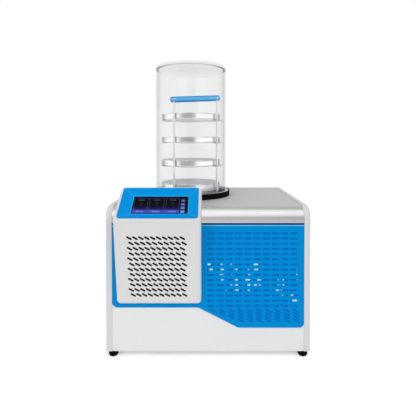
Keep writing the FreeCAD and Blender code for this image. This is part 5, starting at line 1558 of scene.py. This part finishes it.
class DRYER_OT_stage(bpy.types.Operator):
    """Camera, pale floor and soft studio light"""
    bl_idname = "dryer.stage"
    bl_label = "Stage"

    def execute(self, context):
        scene = context.scene
        camera = bpy.data.cameras.new("camera")
        camera.lens, camera.sensor_width, camera.shift_y = 30.05, 36.0, -0.145
        eye = bpy.data.objects.new("camera", camera)
        eye.location, eye.rotation_euler = (-0.0002, -1.2153, 0.6312), (math.radians(89), 0, 0)
        scene.collection.objects.link(eye)
        scene.camera = eye
        scene.view_settings.view_transform = "Standard"
        self.floor()
        self.lamps(scene)
        scene.world = self.sky()
        return {"FINISHED"}

    def floor(self):
        """A pale disc, z = 0, that fades into the backdrop with its distance."""
        swing = np.linspace(0, 2 * np.pi, 72, endpoint=False)
        radius = np.array((0, 0.3, 0.7, 1.2, 1.8, 2.6, 3.6))[:, None]
        points = np.stack((radius * np.cos(swing), radius * np.sin(swing),
                           -0.0002 + 0 * radius * swing), axis=-1)
        skin = Skin().grid(points[:, ::-1], around=True)
        mesh = bpy.data.meshes.new("floor")
        mesh.from_pydata(skin.points.tolist(), [], skin.faces)
        floor = bpy.data.objects.new("floor", mesh)
        bpy.context.scene.collection.objects.link(floor)
        nodes = Nodes(bpy.data.materials.new("floor"))
        here = nodes.place()
        out = nodes.node("ShaderNodeVectorMath", {"operation": "LENGTH"}, [here], output="Value")
        pale = nodes.mix(nodes.noise(2, 3), (0.86, 0.86, 0.86), (0.88, 0.88, 0.88))
        seen = nodes.ray("Is Camera Ray")
        board = nodes.principled(pale, Roughness=0.9, Specular_IOR_Level=0.0,
                                 Emission_Color=nodes.mix(seen, (0.12,) * 3, (0.36,) * 3),
                                 Emission_Strength=1.0)
        clear = nodes.node("ShaderNodeBsdfTransparent")
        mesh.materials.append(nodes.end(nodes.node(
            "ShaderNodeMixShader", inputs=[out.fade(1.0, 2.4), board, clear])))
        floor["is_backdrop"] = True

    def lamps(self, scene):
        """Two large soft lamps, high in front at either side."""
        for name, place, power in (("lamp_left", (-2.1, -2.6, 2.5), 34.0),
                                   ("lamp_right", (1.9, -2.7, 2.7), 34.0)):
            light = bpy.data.lights.new(name, "AREA")
            light.shape, light.size, light.energy = "DISK", 2.6, power
            lamp = bpy.data.objects.new(name, light)
            lamp.location = place
            aim = Vector((0, 0, 0.35)) - Vector(place)
            lamp.rotation_euler = aim.to_track_quat("-Z", "Y").to_euler()
            lamp.visible_glossy = False
            scene.collection.objects.link(lamp)

    def sky(self):
        """White behind everything; an even level on matt surfaces; a studio for glossy ones."""
        nodes = Nodes(bpy.data.worlds.new("studio"))
        way = nodes.node("ShaderNodeTexCoord", output="Generated")
        x, y, z = (nodes.part(way, axis) for axis in range(3))
        flat = (x * x + y * y + 1e-4) ** 0.5
        ahead = (x * -0.208 + y * -0.978) / flat
        side = (1.58 - 0.80 * (y / flat).fade(0.2, 0.8) - 1.20 * ahead.fade(0.74, 0.94)
                + 0.26 * z.fade(-0.12, -0.16))
        glossy = 0.77 - 0.25 * x + 0.69 * (y * -0.68 + z * 0.733).fade(0.66, 0.98)
        # Two narrow bright spots, high in front.
        for across, depth, up in ((0.061, -0.659, 0.7495), (0.174, -0.650, 0.740)):
            facing = x * across + y * depth + z * up
            glossy = glossy + 0.9 * facing.fade(0.9985, 0.9999)
        in_jar = z.fade(0.24, 0.12) * (nodes.ray("Transmission Depth") > 0.5)
        mirrored = nodes.ray("Glossy Depth") > 0.5
        seen = nodes.ray("Is Camera Ray").math("MAXIMUM", nodes.ray("Is Transmission Ray"))
        level = (0.54 + 0.24 * z.fade(-0.1, 0.9)).toward(glossy.toward(side, in_jar), mirrored)
        level = level.toward(1.0, seen * (1 - mirrored))
        light = nodes.node("ShaderNodeBackground", inputs={"Color": shade((1, 1, 1)),
                                                           "Strength": level})
        nodes.node("ShaderNodeOutputWorld", inputs={"Surface": light})
        return nodes.owner


OPERATORS = (
    DRYER_OT_stage, DRYER_OT_cheeks, DRYER_OT_cover, DRYER_OT_skirt, DRYER_OT_grille,
    DRYER_OT_filter, DRYER_OT_console, DRYER_OT_bezel, DRYER_OT_screen, DRYER_OT_jar,
    DRYER_OT_seal, DRYER_OT_trays, DRYER_OT_rods, DRYER_OT_handle, DRYER_OT_feet,
    DRYER_OT_cabinet_parts, DRYER_OT_trap_parts, DRYER_OT_works, DRYER_OT_fittings)


class DRYER_PT_panel(bpy.types.Panel):
    """The pieces, their sizes and their colours"""
    bl_idname = "DRYER_PT_panel"
    bl_label = "Freeze dryer"
    bl_space_type = "VIEW_3D"
    bl_region_type = "UI"
    bl_category = "Freeze dryer"

    def draw(self, context):
        for operator in OPERATORS:
            self.layout.operator(operator.bl_idname)
        for group in GROUPS:
            box = self.layout.box()
            box.label(text=group.__name__)
            for name in group.__annotations__:
                box.prop(settings(group), name)


def register():
    for kind in (*GROUPS, *OPERATORS, DRYER_PT_panel):
        bpy.utils.register_class(kind)
    for group in GROUPS:
        setattr(bpy.types.Scene, holder(group), bpy.props.PointerProperty(type=group))


def unregister():
    for group in GROUPS:
        delattr(bpy.types.Scene, holder(group))
    for kind in reversed((*GROUPS, *OPERATORS, DRYER_PT_panel)):
        bpy.utils.unregister_class(kind)


def main():
    register()
    for operator in OPERATORS:
        section, name = operator.bl_idname.split(".")
        getattr(getattr(bpy.ops, section), name)()
    boxes = {"cad": CAD_BOX, "visual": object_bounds()}
    {name: [list(corner) for corner in box] for name, box in boxes.items()}


if __name__ == "__main__":
    main()
